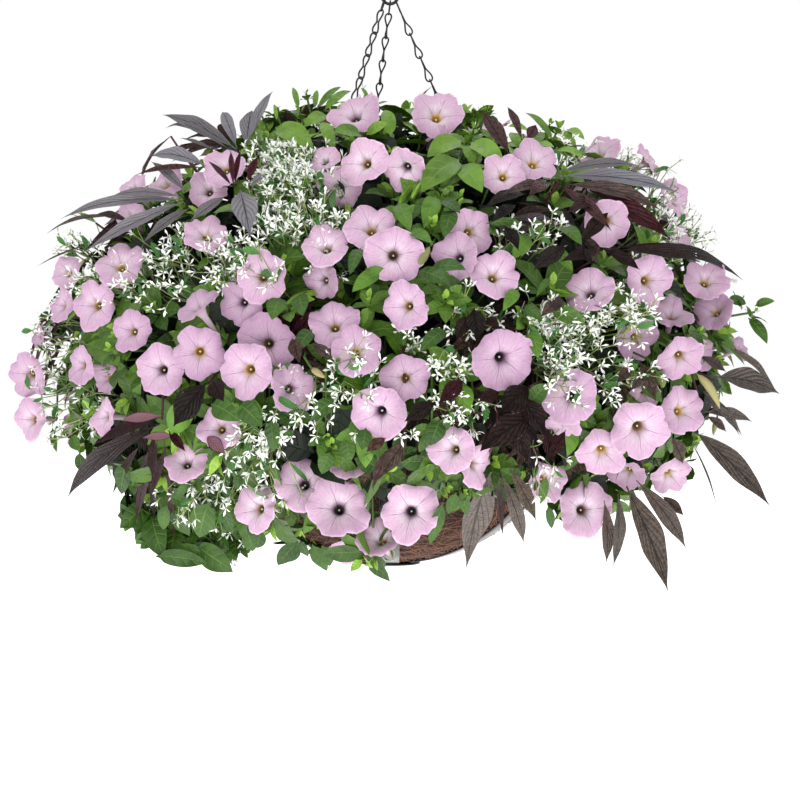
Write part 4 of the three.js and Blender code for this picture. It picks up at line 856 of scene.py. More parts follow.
@dataclass(frozen=True)
class LeafSkin:
    """Leaf blade: cutin-covered skin over green tissue. The midrib and side veins are sunk and paler, and the
    blade between them domes up, which breaks the light into soft patches. Some kinds are crinkled besides, a
    few millimetres from crest to crest, with painted shade in the hollows, and carry a painted grey sheen where
    the light falls on them from above."""

    name: str
    deep: str
    fresh: str
    young: str
    vein: str
    under: str
    roughness: float = 0.45
    specular: float = 0.5
    side_veins: float = 6.0
    slant: float = 0.16
    relief: float = 0.0012
    vein_strength: float = 0.45
    painted_sheen: str = "#808080"
    crinkle: float = 0.0
    mottles_per_metre: float = 90.0
    crests_per_metre: float = 330.0

    def build(self) -> bpy.types.Material:
        """Colours by UV: x runs across the blade and y from base to tip. Tint: share of painted sheen, freshness,
        youth, underside. Mottles lie 11 mm apart and crests 3 mm.

        Returns:
            The material.
        """
        material, add = new_finish(self.name)
        across, along, _ = add(Kind.AXES, add(Kind.UV_PLACE))
        off = add(Kind.UNSIGNED, add(Kind.LESS, across, 0.5))
        tint, underside = add(Kind.TINT)
        sheen_share, freshness, youth = add(Kind.CHANNELS, tint)
        bent = add(Kind.LESS, along, add(Kind.TIMES, off, 2 * self.slant))
        comb = add(Kind.UNSIGNED, add(Kind.LESS, add(Kind.REST, add(Kind.TIMES, bent, self.side_veins)), 0.5))
        ribs = add(
            Kind.TIMES, add(Kind.EASE, comb, 0.0, 0.11, 1.0, 0.0), add(Kind.EASE, off, 0.3, 0.5, 0.8, 0.1))
        veins = add(Kind.LARGER, add(Kind.EASE, off, 0.012, 0.05, 1.0, 0.0), ribs)
        where = add(Kind.OBJECT_PLACE)
        mottle = add(Kind.NOISE, where, self.mottles_per_metre, 3.0)
        body = add(Kind.MIX, freshness, self.deep, self.fresh)
        body = add(Kind.MIX, youth, body, self.young)
        body = add(Kind.DARKEN, add(Kind.EASE, mottle, 0.4, 0.7, 0.0, 0.4), body, self.fresh)
        dome = add(Kind.LESS, add(Kind.TIMES, comb, 0.8), veins)
        height = add(Kind.SUM, dome, add(Kind.TIMES, mottle, 0.5))
        if self.crinkle > 0:
            crests = add(Kind.NOISE, where, self.crests_per_metre, 3.0)
            # Painted shade: the crinkles' hollows darken towards the deep colour
            body = add(Kind.MIX, add(Kind.EASE, crests, 0.42, 0.6, self.crinkle, 0.0), body, self.deep)
            # Painted sheen: a grey highlight colour laid on by the tint's first number
            body = add(Kind.MIX, add(Kind.TIMES, sheen_share, 0.8), body, self.painted_sheen)
            height = add(Kind.TIMES_PLUS, crests, 0.9, height)
        body = add(Kind.MIX, add(Kind.TIMES, veins, self.vein_strength), body, self.vein)
        lower = add(Kind.TIMES, underside, add(Kind.EASE, off, 0.4, 0.47, 1.0, 0.0))
        add(Kind.MATERIAL, add(
            Kind.SURFACE, Base_Color=add(Kind.MIX, lower, body, self.under),
            Normal=add(Kind.BUMP, 0.6, self.relief, height),
            Roughness=self.roughness, Specular_IOR_Level=self.specular))
        return material


@dataclass(frozen=True)
class PlainTissue:
    """Stems, sepals, bracts and other plant skin: nearly even colour from deep to fresh, faintly mottled. Some
    stems darken towards the root, deep in the planting, as painted shade."""

    name: str
    deep: str
    fresh: str
    roughness: float = 0.5
    mottles_per_metre: float = 160.0
    # How strongly the root end of a stem is darkened, and to which colour: painted shade
    root_shade: float = 0.0
    root_shade_colour: str = "#120d08"

    def build(self) -> bpy.types.Material:
        """Colour by the tint's second number, mottled at about 6 mm. UV's y runs from root to end.

        Returns:
            The material.
        """
        material, add = new_finish(self.name)
        _, freshness, _ = add(Kind.CHANNELS, add(Kind.TINT)[0])
        mottle = add(Kind.NOISE, add(Kind.OBJECT_PLACE), self.mottles_per_metre, 2.0)
        share = add(Kind.TIMES_PLUS, mottle, 0.4, add(Kind.TIMES_PLUS, freshness, 0.8, -0.1))
        body = add(Kind.MIX, share, self.deep, self.fresh)
        # Painted shade: the stem darkens towards its root
        if self.root_shade > 0:
            _, along, _ = add(Kind.AXES, add(Kind.UV_PLACE))
            body = add(Kind.MIX, add(Kind.EASE, along, 0.55, 0.96, self.root_shade, 0.0), body, self.root_shade_colour)
        add(Kind.MATERIAL, add(Kind.SURFACE, Base_Color=body, Roughness=self.roughness))
        return material


@dataclass(frozen=True)
class CoirMat:
    """Coir: coconut husk fibre matted with latex and pressed into a bowl. Stiff red-brown strands 0.3 mm thick,
    drawn here about 1 mm so that they show, lie in all directions over dark gaps, partly the fibre's own dark
    brown and partly painted shade."""

    gap: str = "#0c0503"
    strand: str = "#321209"
    light: str = "#582a18"
    strand_mm: float = 1.3
    # Three layers of strands: how each is turned, and how far it is drawn out
    layers: tuple = (((0.3, 0.2, 0.1), 0.1), ((1.2, 0.5, 1.9), 0.12), ((0.4, 1.3, 0.9), 0.1))

    def build(self) -> bpy.types.Material:
        """Three layers of noise drawn out along different directions, the lightest strands on top.

        Returns:
            The material.
        """
        material, add = new_finish("coir_fibre")
        where = add(Kind.OBJECT_PLACE)
        fine = 0.6 * 1000.0 / self.strand_mm
        first, second, third = (
            add(Kind.NOISE, add(Kind.DRAWN_OUT, where, turn, (1.0, stretch, 0.7)), fine, 2.0)
            for turn, stretch in self.layers)
        height = add(Kind.LARGER, add(Kind.LARGER, first, second), third)
        # Darker with depth: the near-black gap colour under the strands is partly painted shade
        body = add(Kind.RAMP, height, ramp=((0.46, self.gap), (0.6, self.strand), (0.78, self.light)))
        add(Kind.MATERIAL, add(
            Kind.SURFACE, Base_Color=body, Normal=add(Kind.BUMP, 1.0, 0.002, height), Roughness=0.9))
        return material


@dataclass(frozen=True)
class Enamel:
    """Baked enamel on steel: sprayed and stoved, smooth and glossy, with a faint orange-peel of a millimetre."""

    name: str
    colour: str
    worn: str
    roughness: float = 0.22
    patches_per_metre: float = 60.0
    peel_per_metre: float = 700.0

    def build(self) -> bpy.types.Material:
        """A dark coat, dulled in soft patches 17 mm apart by handling and weather, over a peel of 1.4 mm.

        Returns:
            The material.
        """
        material, add = new_finish(self.name)
        where = add(Kind.OBJECT_PLACE)
        patch = add(Kind.NOISE, where, self.patches_per_metre, 4.0)
        peel = add(Kind.NOISE, where, self.peel_per_metre, 1.0)
        body = add(Kind.MIX, add(Kind.EASE, patch, 0.5, 0.75, 0.0, 0.6), self.colour, self.worn)
        rough = add(Kind.EASE, patch, 0.3, 0.8, self.roughness, self.roughness + 0.16)
        add(Kind.MATERIAL, add(
            Kind.SURFACE, Base_Color=body, Roughness=rough, Normal=add(Kind.BUMP, 0.12, 0.0004, peel)))
        return material


@dataclass(frozen=True)
class PottingMix:
    """Potting mix: moist peat and bark crumbs a few millimetres across, nearly black between paler crumbs."""

    wet: str = "#17100b"
    crumb: str = "#4a3526"
    crumb_mm: float = 5.0
    grain_mm: float = 2.5

    def build(self) -> bpy.types.Material:
        """Voronoi crumbs at their real size with fine noise on them.

        Returns:
            The material.
        """
        material, add = new_finish("potting_mix")
        where = add(Kind.OBJECT_PLACE)
        share = add(Kind.TIMES, add(Kind.CELLS, where, 1000.0 / self.crumb_mm),
                    add(Kind.NOISE, where, 1000.0 / self.grain_mm, 4.0))
        body = add(Kind.MIX, add(Kind.EASE, share, 0.1, 0.5, 1.0, 0.0), self.wet, self.crumb)
        add(Kind.MATERIAL, add(
            Kind.SURFACE, Base_Color=body, Normal=add(Kind.BUMP, 1.0, 0.004, share), Roughness=0.95))
        return material


@dataclass(frozen=True)
class StudioPaper:
    """Seamless paper under even light: matt and nearly white."""

    colour: str = "#fbfbfb"
    glow: float = 0.95

    def build(self) -> bpy.types.Material:
        """A matt white that also gives back a little light of its own.

        Returns:
            The material.
        """
        material, add = new_finish("studio_paper")
        add(Kind.MATERIAL, add(
            Kind.SURFACE, Base_Color=self.colour, Roughness=0.95, Specular_IOR_Level=0.0,
            Emission_Color="#ffffff", Emission_Strength=self.glow))
        return material


PETAL = PetalVelvet()
PETUNIA_LEAF = LeafSkin(
    "petunia_leaf", deep="#294a12", fresh="#5f8a28", young="#a3cc4e", vein="#94b85c", under="#7ba058",
    roughness=0.42, specular=0.38, side_veins=5.0, vein_strength=0.22, relief=0.0009)
# Near-black greens for the leaves deep inside: painted shade
PAINTED_SHADE_LEAF = LeafSkin(
    "painted_shade_leaf", deep="#0b1608", fresh="#16290f", young="#243a18", vein="#2a4220", under="#1c2e16",
    roughness=0.6, side_veins=5.0, vein_strength=0.3)
# Its grey sheen colour is a painted highlight on the upper lobes, and its crinkle darkens hollows as painted shade
VINE_LEAF = LeafSkin(
    "sweet_potato_vine_leaf", deep="#0b0807", fresh="#76624f", young="#571628", vein="#0b0707",
    under="#86606a", roughness=0.4, specular=0.17, side_veins=7.0, slant=0.42, relief=0.005,
    vein_strength=0.75, painted_sheen="#9c9aa4", crinkle=0.55)
EUPHORBIA_LEAF = LeafSkin(
    "euphorbia_leaf", deep="#2e6428", fresh="#4f8c3c", young="#86b04e", vein="#8fb877", under="#76a060",
    roughness=0.5, side_veins=6.0, vein_strength=0.3)
BRACT_TISSUE = PlainTissue("euphorbia_bract", "#e9efe0", "#ffffff", 0.6)
WIRY_STEM = PlainTissue("euphorbia_stem", "#6f8440", "#adbb7c")
# Main stems darken towards the root as painted shade, here and in the petunia stem below
WIRY_ROOTSTOCK = PlainTissue("euphorbia_main_stem", "#6a8434", "#a0b860", root_shade=0.97)
PETUNIA_GREEN = PlainTissue("petunia_sepal", "#3e6a26", "#86a852", 0.55)
PETUNIA_STEM = PlainTissue("petunia_stem", "#33581f", "#6f9444", 0.55, root_shade=0.95)
TUBE_TISSUE = PlainTissue("petunia_tube", "#b58aa8", "#e8d3dc", 0.6)
BUD_TISSUE = PlainTissue("petunia_bud", "#6a8236", "#b3a274", 0.6, mottles_per_metre=260.0)
VINE_STEM = PlainTissue("vine_stem", "#2c1218", "#5a2230", 0.45)
ANTHER = PlainTissue("petunia_stigma", "#b9c98a", "#fdfdf0")
COIR_STRAND = PlainTissue("coir_strand", "#1c0a06", "#8f5a3a", 0.8)
BAND_ENAMEL = Enamel("band_enamel", "#120d0b", "#2a211d", 0.2)
CHAIN_ENAMEL = Enamel("chain_enamel", "#0d0d10", "#232428", 0.3)
HOOK_ENAMEL = Enamel("hook_enamel", "#0f0f12", "#26272b", 0.25)


def dress(piece: bpy.types.Object, slot: str, *nodes: str) -> bpy.types.Object:
    """Lets a piece ride on the part and stand for nodes, and reports it.

    Args:
        piece: the finished object.
        slot: the record's material slot; not used.
        nodes: the solids that it stands for.

    Returns:
        The same object.
    """
    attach(piece, "root")
    if nodes:
        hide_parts(*nodes)
    log.info("%s: %d faces, stands for %d solids", piece.name, len(piece.data.polygons), len(nodes))
    return piece


def nodes_named(start: str) -> list[str]:
    """The names of the solids that start with a word."""
    return sorted(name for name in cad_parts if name.startswith(start))


def stem_paths(ends: Array, back: Array, stations: int) -> Array:
    """Stems from the soil to their ends. Each rises from the soil, and low ones arch over the rim: a cubic curve
    whose third corner lies behind the end, or above and outside it for an end under the rim.

    Args:
        ends: where the stems end, (n, 3).
        back: the direction in which each end points, (n, 3).
        stations: points along each stem.

    Returns:
        Points along the stems, (n, stations, 3).
    """
    # Distances from the axis and heights at which the outermost stems leave the soil and rise from it
    soil_reach, soil_height, rising_reach, rising_height = 118, -514, 150, -400
    # Degrees down from the top at which stems begin to arch over the rim, and over how many they come to do so
    level, arching = 88, 22
    # Least distance of an end from the axis, how far outside and above it the arch is drawn, and the lead-in
    least, outside, above, lead = 200, 55, 150, 70
    azimuth, tilt = DOME.bearing(ends)
    share = np.clip(tilt / math.radians(128), 0.05, 1)
    ring = upright(1.0, azimuth, 0.0)
    root = ring * (soil_reach * share)[:, None] + UP * soil_height
    rising = ring * (rising_reach * share)[:, None] + UP * rising_height
    low = np.clip((np.degrees(tilt) - level) / arching, 0, 1)[:, None]
    reach = np.maximum(np.hypot(ends[:, 0], ends[:, 1]), least)[:, None]
    over = ring * (reach + outside) + UP * (ends[:, 2:] + above)
    behind = ends - unit(back) * lead
    return bezier([root, rising, behind * (1 - low) + over * low, ends], stations)


def unset(*shape: int) -> Array:
    """A field for an array that is filled later."""
    return field(default_factory=partial(np.zeros, shape))


# Radius and depth of a petunia's face from throat to margin, as shares of the face's radius
FACE_PROFILE = np.array([
    (0.0, -0.95), (0.07, -0.86), (0.12, -0.66), (0.17, -0.48), (0.24, -0.32), (0.33, -0.2), (0.44, -0.12),
    (0.56, -0.065), (0.68, -0.03), (0.79, -0.008), (0.89, 0.0), (0.96, -0.01), (1.0, -0.03),
])
# The same for the tube behind it, from its foot
TUBE_PROFILE = np.array([
    (0.03, -1.5), (0.08, -1.47), (0.1, -1.2), (0.15, -0.75), (0.2, -0.54), (0.27, -0.38), (0.36, -0.26),
    (0.47, -0.17),
])


@dataclass
class PetuniaBlooms:
    """Funnel-shaped petunia flowers: five joined lobes with a notch between each two, a throat and a slim tube."""

    tube_length: float = 36.0
    back_count: int = 34
    lowest: float = 112.0
    columns: int = 50
    lobe_degrees: float = 72.0
    centres: Array = unset(0, 3)
    faces: Array = unset(0, 3)
    radii: Array = unset(0)
    spins: Array = unset(0)
    darkness: Array = unset(0)
    bud_bases: Array = unset(0, 3)
    bud_tips: Array = unset(0, 3)
    bud_widths: Array = unset(0)

    def shown(self, seen: Array) -> tuple[Array, Array, Array]:
        """The flowers that the photograph shows. A throat that lies off the middle tells how a face leans, and a
        flower that is partly hidden by others stands up to 46 mm further back than its place on the dome.

        Args:
            seen: rows of the tables of flowers, front ones first.

        Returns:
            Middles, directions and radii of the faces.
        """
        breadth = seen[:, 2]
        centre = PHOTO.seen(DOME, seen[:, :2])
        lean = seen[:, 3:5] * (-1, 1) / (0.3 * breadth)[:, None]
        sideways = np.linalg.norm(lean, axis=1)
        lean *= (np.minimum(sideways, 0.93) / np.maximum(sideways, 1e-6))[:, None]
        face = np.stack([lean[:, 0], -np.sqrt(1 - (lean ** 2).sum(axis=1)), lean[:, 1]], axis=-1)
        radius = 0.5 * breadth * PHOTO.spread(centre)
        for later in range(1, len(centre)):
            gap = np.hypot(*(seen[:later, :2] - seen[later, :2]).T)
            overlap = np.clip(1 - gap / (0.5 * (breadth[:later] + breadth[later])), 0, 1)
            depth = centre[:later, 1] + np.where(overlap > 0, 4 + 42 * overlap, -1e3)
            centre[later, 1] = max(centre[later, 1], min(depth.max(), centre[later, 1] + 46))
        return centre, face, radius

    def place(self) -> None:
        """Sets the flowers seen in the photograph on the dome, and the others where the solids have them on the
        half that it doesn't show, with more between those."""
        same, other = repeatable(11), repeatable(18)
        centre, face, radius = self.shown(np.concatenate([SEEN_BLOOMS, MORE_BLOOMS]))
        spin = [self.lobe_degrees * next(stream) for stream, table in ((same, SEEN_BLOOMS), (other, MORE_BLOOMS))
                for _ in table]
        azimuth, tilt = DOME.behind(self.back_count, self.lowest, same)
        rest = DOME.at(azimuth, tilt)
        own = np.array([[next(same) for _ in range(4)] for _ in rest])
        lean = np.stack([0.5 * (own[:, 0] - 0.5), 0 * azimuth, 0.1 + 0.3 * own[:, 1]], axis=-1)
        draw = np.random.default_rng(17)
        extra = self.between(np.concatenate([centre, rest]), draw)
        count = len(extra)
        self.centres = np.concatenate([centre, rest, extra])
        more_faces = DOME.outward(extra) + draw.normal(0, 0.22, (count, 3)) + 0.15 * UP
        self.faces = np.concatenate([face, unit(DOME.outward(rest) + lean), unit(more_faces)])
        self.radii = np.concatenate([radius, 21.5 + 4.5 * own[:, 2], draw.uniform(19, 24, count)])
        turn = np.radians(self.lobe_degrees * own[:, 3])
        self.spins = np.concatenate([np.radians(spin), turn, draw.uniform(0, 6, count)])
        dark = np.concatenate([SEEN_BLOOMS[:, 5], MORE_BLOOMS[:, 5], np.floor(3 * ((7 * own[:, 3]) % 1)) / 2])
        self.darkness = np.concatenate([dark, 0.5 * draw.integers(0, 3, count)])
        spare = DOME.at(*DOME.scatter(60, self.lowest, draw))
        spare = clear_of(spare[spare[:, 1] > 40], self, 5, 6)
        way = unit(DOME.outward(spare) + draw.normal(0, 0.5, spare.shape)) * draw.uniform(16, 26, (len(spare), 1))
        self.bud_bases = np.concatenate([PHOTO.seen(DOME, SEEN_BUDS[:, :2], 1.0), spare])
        self.bud_tips = np.concatenate([PHOTO.seen(DOME, SEEN_BUDS[:, 2:4], 1.05), spare + way])
        self.bud_widths = np.concatenate([SEEN_BUDS[:, 4], draw.uniform(5, 7.5, len(spare))])

    def between(self, taken: Array, draw: np.random.Generator) -> Array:
        """Places for more flowers on the far half, each at least 44 mm from every other flower.

        Args:
            taken: the flowers that are there already, (n, 3).
            draw: the stream of random numbers.

        Returns:
            Middles of the new faces, (m, 3).
        """
        tried, apart = 240, 44
        azimuth, tilt = DOME.scatter(tried, 114, draw)
        places = DOME.at(azimuth, tilt, draw.uniform(0.96, 1.0, tried))
        kept = []
        seen = (places[:, 1] < 10) | ((places[:, 1] < 50) & ~within(PHOTO.places(DOME, places), CREST))
        for place in places[~seen]:
            if np.linalg.norm(np.concatenate([taken, [*kept, taken[0]]]) - place, axis=1).min() > apart:
                kept.append(place)
        return np.array(kept)

    def corollas(self) -> Surface:
        """Face and throat: radius and depth follow a funnel's profile from the throat to the margin. The margin is
        cut by |cos(5/2 angle)| into five lobes, each with a groove down its middle and a small point, and the face
        cups, folds and waves by sines of the angle.

        Returns:
            One surface for them all.
        """
        draw = np.random.default_rng(12)
        count = len(self.centres)
        angle = around(self.columns)
        reach, depth = FACE_PROFILE.T
        radius = self.radii[:, None, None]
        lobe = np.abs(np.cos(2.5 * angle))
        phase = draw.uniform(0, TURN, (9, count, 1, 1))
        size = draw.uniform(0.5, 1.4, (9, count, 1, 1))
        out = reach[:, None]
        limb = np.clip((out - 0.2) / 0.8, 0, 1)
        margin = (
            0.06 - 0.13 * size[5] * (1 - lobe) ** 1.4 + 0.02 * lobe ** 24
            + 0.022 * size[6] * np.sin(11 * angle + phase[0]) + 0.018 * size[7] * np.sin(17 * angle + phase[1])
            + 0.05 * size[0] * np.sin(2 * angle + phase[5]) + 0.03 * size[4] * np.sin(3 * angle + phase[6]))
        wide = radius * out * (1 + limb ** 3 * margin)
        tall = radius * (
            depth[:, None]
            - 0.17 * size[1] * limb ** 2 * (1 - lobe) ** 1.3
            - 0.04 * limb * (1 - 0.6 * limb) * lobe ** 30
            + 0.13 * size[2] * limb ** 1.5 * np.sin(2 * angle + phase[2])
            + 0.06 * size[3] * limb ** 2 * np.sin(3 * angle + phase[3])
            + 0.045 * size[4] * limb ** 4 * np.sin(9 * angle + phase[4])
            + 0.03 * size[8] * limb ** 5 * np.sin(14 * angle + phase[7])
            + 0.09 * (size[7] - 0.8) * limb ** 2
        )
        across, over = level_frame(self.faces)
        turned = angle + self.spins[:, None, None]
        grid = self.centres[:, None, None] + across[:, None, None] * (wide * np.cos(turned))[..., None]
        grid = grid + over[:, None, None] * (wide * np.sin(turned))[..., None]
        grid = grid + self.faces[:, None, None] * tall[..., None]
        # The first column is the middle of a lobe. It is repeated at the end, so that the pattern has no seam.
        grid = np.concatenate([grid, grid[:, :, :1]], axis=2)
        lobes = np.linspace(0, 5, self.columns + 1) + 0.5
        uv = np.stack(np.broadcast_arrays(lobes, reach[:, None]), axis=-1)
        shade = tints(count, draw, self.darkness)
        # First tint number: a random deeper lilac, plus painted shade on flowers at heights near -430 mm to tone
        # down the stronger light there
        shade[:, 0] = 0.3 * shade[:, 0] + 0.6 * np.exp(-((self.centres[:, 2] + 430) / 80) ** 2)
        return lattice(grid, uv, shade, flip=True)

    def feet(self) -> Array:
        """Where each flower's tube ends."""
        return self.centres - self.faces * self.tube_length

    def outer_tubes(self) -> Surface:
        """Tubes behind the faces: a circle whose radius grows from the foot and flares under the face.

        Returns:
            One surface for them all.
        """
        draw = np.random.default_rng(13)
        thick, depth = TUBE_PROFILE.T
        stretch = (self.tube_length / self.radii)[:, None] / 1.5
        paths = self.centres[:, None] + self.faces[:, None] * (
            self.radii[:, None] * np.where(depth < -0.75, depth * stretch, depth))[..., None]
        return tubes(paths, self.radii[:, None] * thick, 10, tints(len(paths), draw))

    def calyxes(self) -> Surface:
        """Five narrow sepals round each foot, spread a little from the tube.

        Returns:
            One surface for them all.
        """
        draw = np.random.default_rng(14)
        count = len(self.centres)
        across, over = level_frame(self.faces)
        angle = TURN * np.arange(5) / 5 + draw.uniform(0, 6, (count, 1))
        out = swung(across[:, None], over[:, None], angle)
        base = np.broadcast_to(self.feet()[:, None], out.shape) + out * 0.8
        face = self.faces[:, None]
        tip = base + (0.9 * face + 0.32 * out) * draw.uniform(13, 18, (count, 5, 1))
        flat = [part.reshape(-1, 3) for part in (base, tip, out + 0 * face)]
        size = draw.uniform(2.6, 3.8, 5 * count)
        return blades(*flat, size, 0.1, ELLIPTIC, tints(5 * count, draw), draw, 5, 3)

    def stigmas(self) -> Surface:
        """A small rounded stigma in each throat, 2 mm across and 2.8 mm long."""
        middle = self.centres - self.faces * (0.5 * self.radii)[:, None]
        return beads(middle, self.faces, 1.4, 1.0, 6, 7, tints(len(middle), np.random.default_rng(15)))

    def buds(self) -> Surface:
        """Furled buds and withered flowers: spindles whose radius is a power of sin(pi t), a little bowed.

        Returns:
            One surface for them all.
        """
        draw = np.random.default_rng(19)
        along = np.linspace(0, 1, 9)
        run = self.bud_tips - self.bud_bases
        bow = draw.normal(0, 0.08, run.shape) * np.linalg.norm(run, axis=1, keepdims=True)
        paths = (self.bud_bases[:, None] + run[:, None] * along[:, None]
                 + bow[:, None] * np.sin(math.pi * along)[:, None])
        thick = np.maximum(np.sin(math.pi * along ** 0.8), 0) ** 0.7 * (0.5 * self.bud_widths)[:, None]
        return tubes(paths, thick, 10, tints(len(paths), draw))

    def stalks(self) -> Surface:
        """Stems from the soil to each flower's foot and each bud, thinning from 1.7 to 1 mm.

        Returns:
            One surface for them all.
        """
        draw = np.random.default_rng(16)
        feet = np.concatenate([self.feet(), self.bud_bases])
        paths = stem_paths(feet, np.concatenate([self.faces, unit(self.bud_tips - self.bud_bases)]), 9)
        return tubes(paths, np.linspace(1.7, 1.0, 9), 5, tints(len(feet), draw))

    def build(self) -> None:
        """Makes and dresses the flowers' pieces."""
        petals = self.corollas().put("petunia_blooms", PETAL.build())
        dress(petals, "petal", *nodes_named("petunia_spray"))
        dress(self.outer_tubes().put("petunia_tubes", TUBE_TISSUE.build()), "petal")
        dress(self.stigmas().put("petunia_stigmas", ANTHER.build()), "petal")
        dress(self.calyxes().put("petunia_calyxes", PETUNIA_GREEN.build()), "petunia_leaf")
        dress(self.buds().put("petunia_buds", BUD_TISSUE.build()), "petal")
        dress(self.stalks().put("petunia_stalks", PETUNIA_STEM.build()), "petunia_leaf")


def clear_of(points: Array, blooms: PetuniaBlooms, margin: float, depth: float) -> Array:
    """Sinks points that stand in front of or through a flower's face until they lie behind it.

    Args:
        points: (n, 3).
        blooms: the flowers.
        margin: how far outside a face's edge this holds.
        depth: how far behind the face the points come to lie.

    Returns:
        The moved points, (n, 3).
    """
    # How deep a flower's throat reaches at shares of its radius, and how far before a face points still count
    shares, depths, before = (0, 0.12, 0.24, 0.44, 1), (0.95, 0.66, 0.32, 0.12, 0), 60
    moved = points.copy()
    for _ in range(3):
        gap = moved[:, None] - blooms.centres
        along = (gap * blooms.faces).sum(axis=2)
        lateral = np.linalg.norm(gap - along[..., None] * blooms.faces, axis=2)
        throat = blooms.radii * np.interp(lateral / blooms.radii, shares, depths)
        near = (lateral < blooms.radii + margin) & (along > -depth - throat) & (along < before)
        sink = np.where(near, along + depth + throat, 0)
        worst = sink.argmax(axis=1)
        moved = moved - blooms.faces[worst] * sink[np.arange(len(moved)), worst][:, None]
    return moved


def in_patches(places: Array, patches: Array, grow: float = 1.0) -> Array:
    """Whether each pixel lies in one of several oval patches."""
    gap = (places[:, None] - patches[:, :2]) / (patches[:, 2:4] * grow)
    return ((gap ** 2).sum(axis=2) < 1).any(axis=1)


@dataclass
class PetuniaLeaves:
    """Leafy petunia shoots: whorls of ovate leaves at the shoots' tips, and leaves deep inside in painted shade."""

    outer_count: int = 640
    inner_count: int = 620
    lowest: float = 150.0
    # Shares of the shoots that are left out among white euphorbia, among dark vine, and in the far half's gaps
    bare: tuple[float, float, float] = (0.75, 0.85, 0.6)
    whorl: int = 8
    young: int = 3
    young_length: float = 13.0
    grown_length: float = 30.0
    breadth: float = 0.54

    def tips(self, blooms: PetuniaBlooms, draw: np.random.Generator) -> Array:
        """Shoot tips seen in the photograph and others spread over the dome, clear of the flowers' faces.

        Args:
            blooms: the flowers, whose faces stay free.
            draw: the stream of random numbers.

        Returns:
            The tips, (n, 3), those of the photograph first.
        """
        azimuth, tilt = DOME.scatter(self.outer_count, self.lowest, draw)
        spread = DOME.at(azimuth, tilt, draw.uniform(0.86, 0.96, len(tilt)))
        places = PHOTO.places(DOME, spread)
        front = spread[:, 1] < 20
        white = in_patches(places, EUPHORBIA_PATCHES, 0.9) & (draw.random(len(spread)) < self.bare[0])
        dark = in_patches(places, VINE_PATCHES) & (draw.random(len(spread)) < self.bare[1])
        gaps = np.sin(5 * azimuth + 3 * tilt) > 0.35
        behind = ~front & gaps & (draw.random(len(spread)) < self.bare[2])
        low = (tilt > math.radians(138)) & ~front
        stray = front & (white | dark | ~within(places, MASS_OUTLINE))
        keep = ~(stray | behind | low | before_bowl(spread, 60))
        seen = PHOTO.seen(DOME, SEEN_SHOOTS[:, :2], 0.98)
        # The solids draw three numbers for each of 18 seen shoots before these
        azimuth, tilt = DOME.behind(9, 118, repeatable(23, 3 * 18))
        rest = DOME.at(azimuth + 0.2, tilt + 0.05, 0.96)
        return np.concatenate([seen, rest, clear_of(spread[keep], blooms, 4, 26)])

    def whorls(self, tips: Array, blooms: PetuniaBlooms, draw: np.random.Generator) -> Surface:
        """Eight leaves round each tip: three small upright ones, five larger ones spread out below them.

        Args:
            tips: the shoots' tips, (n, 3).
            blooms: the flowers, whose faces stay free.
            draw: the stream of random numbers.

        Returns:
            One surface for them all.
        """
        count = len(tips)
        axis = unit(DOME.outward(tips) + 0.35 * UP + draw.normal(0, 0.22, (count, 3)))
        across, over = level_frame(axis)
        size = self.whorl
        rank = np.arange(size)
        young = rank < self.young
        angle = 2.4 * rank + draw.uniform(0, 6.3, (count, 1)) + draw.normal(0, 0.15, (count, size))
        lift = np.where(young, 1.0, 0.32) + draw.normal(0, 0.14, (count, size))
        scale = draw.uniform(0.75, 1.25, (count, 1))
        scale[:len(SEEN_SHOOTS), 0] = SEEN_SHOOTS[:, 2]
        length = np.where(young, self.young_length, self.grown_length) * scale
        length = length * draw.uniform(0.8, 1.2, (count, size))
        out = swung(across[:, None], over[:, None], angle)
        up = axis[:, None]
        base = tips[:, None] - up * np.where(young, 0.0, 7.0)[:, None] + out * 1.5
        tip = base + swung(out, up, lift) * length[..., None]
        normal = swung(up, -out, lift)
        shade = tints(size * count, draw)
        # Painted light and shade: leaves near the top are made fresher and younger, those low down darker
        high = np.repeat(np.clip((tips[:, 2] + 330) / 110, 0, 1), size)
        shade[:, 1] += (1 - shade[:, 1]) * 0.5 * high
        shade[:, 1] *= np.repeat(np.where(tips[:, 2] < -510, 0.45, 1.0), size)
        shade[:, 2] = np.where(np.tile(young, count), 0.8, (0.15 + 0.45 * high) * draw.random(size * count))
        base = clear_of(base.reshape(-1, 3), blooms, 0, 12)
        tip = clear_of(tip.reshape(-1, 3), blooms, 4, 9)
        free = np.arange(size * count) >= size * len(SEEN_SHOOTS)
        keep = ~(free & before_bowl(tip, 60))
        normal, width = normal.reshape(-1, 3), (length * self.breadth).ravel()
        arch = draw.uniform(0.02, 0.1, size * count)
        return blades(
            base[keep], tip[keep], normal[keep], width[keep], arch[keep], OVATE, shade[keep], draw, 6, 5)

    def hanging(self, draw: np.random.Generator) -> tuple[Surface, Array]:
        """Broad leaves that hang low at the left, behind those seen one by one, and the places they grow from.

        Args:
            draw: the stream of random numbers.

        Returns:
            The leaves, and where they grow, (m, 3).
        """
        place = np.stack([draw.uniform(116, 270, 260), draw.uniform(462, 560, 260)], axis=-1)
        place = place[within(place, HANGING_OUTLINE)]
        middle = PHOTO.seen(DOME, place, 0.96) + AWAY * draw.uniform(6, 46, (len(place), 1))
        base = np.repeat(middle, 3, axis=0)
        turn = draw.uniform(0, TURN, len(base))
        way = unit(np.stack([np.cos(turn), 0 * turn - 0.1, np.sin(turn) - 0.5], axis=-1))
        length = draw.uniform(18, 30, len(base))
        normal = unit(0.5 * DOME.outward(base) + 0.2 * UP - AWAY + draw.normal(0, 0.3, base.shape))
        shade = tints(len(base), draw)
        # Painted shade: these low hanging leaves are made darker
        shade[:, 0] *= 0.8
        shade[:, 1] *= 0.5
        half = way * length[:, None] * 0.5
        return blades(base - half, base + half, normal, 0.66 * length, 0.06, OVATE, shade, draw, 7, 5), middle

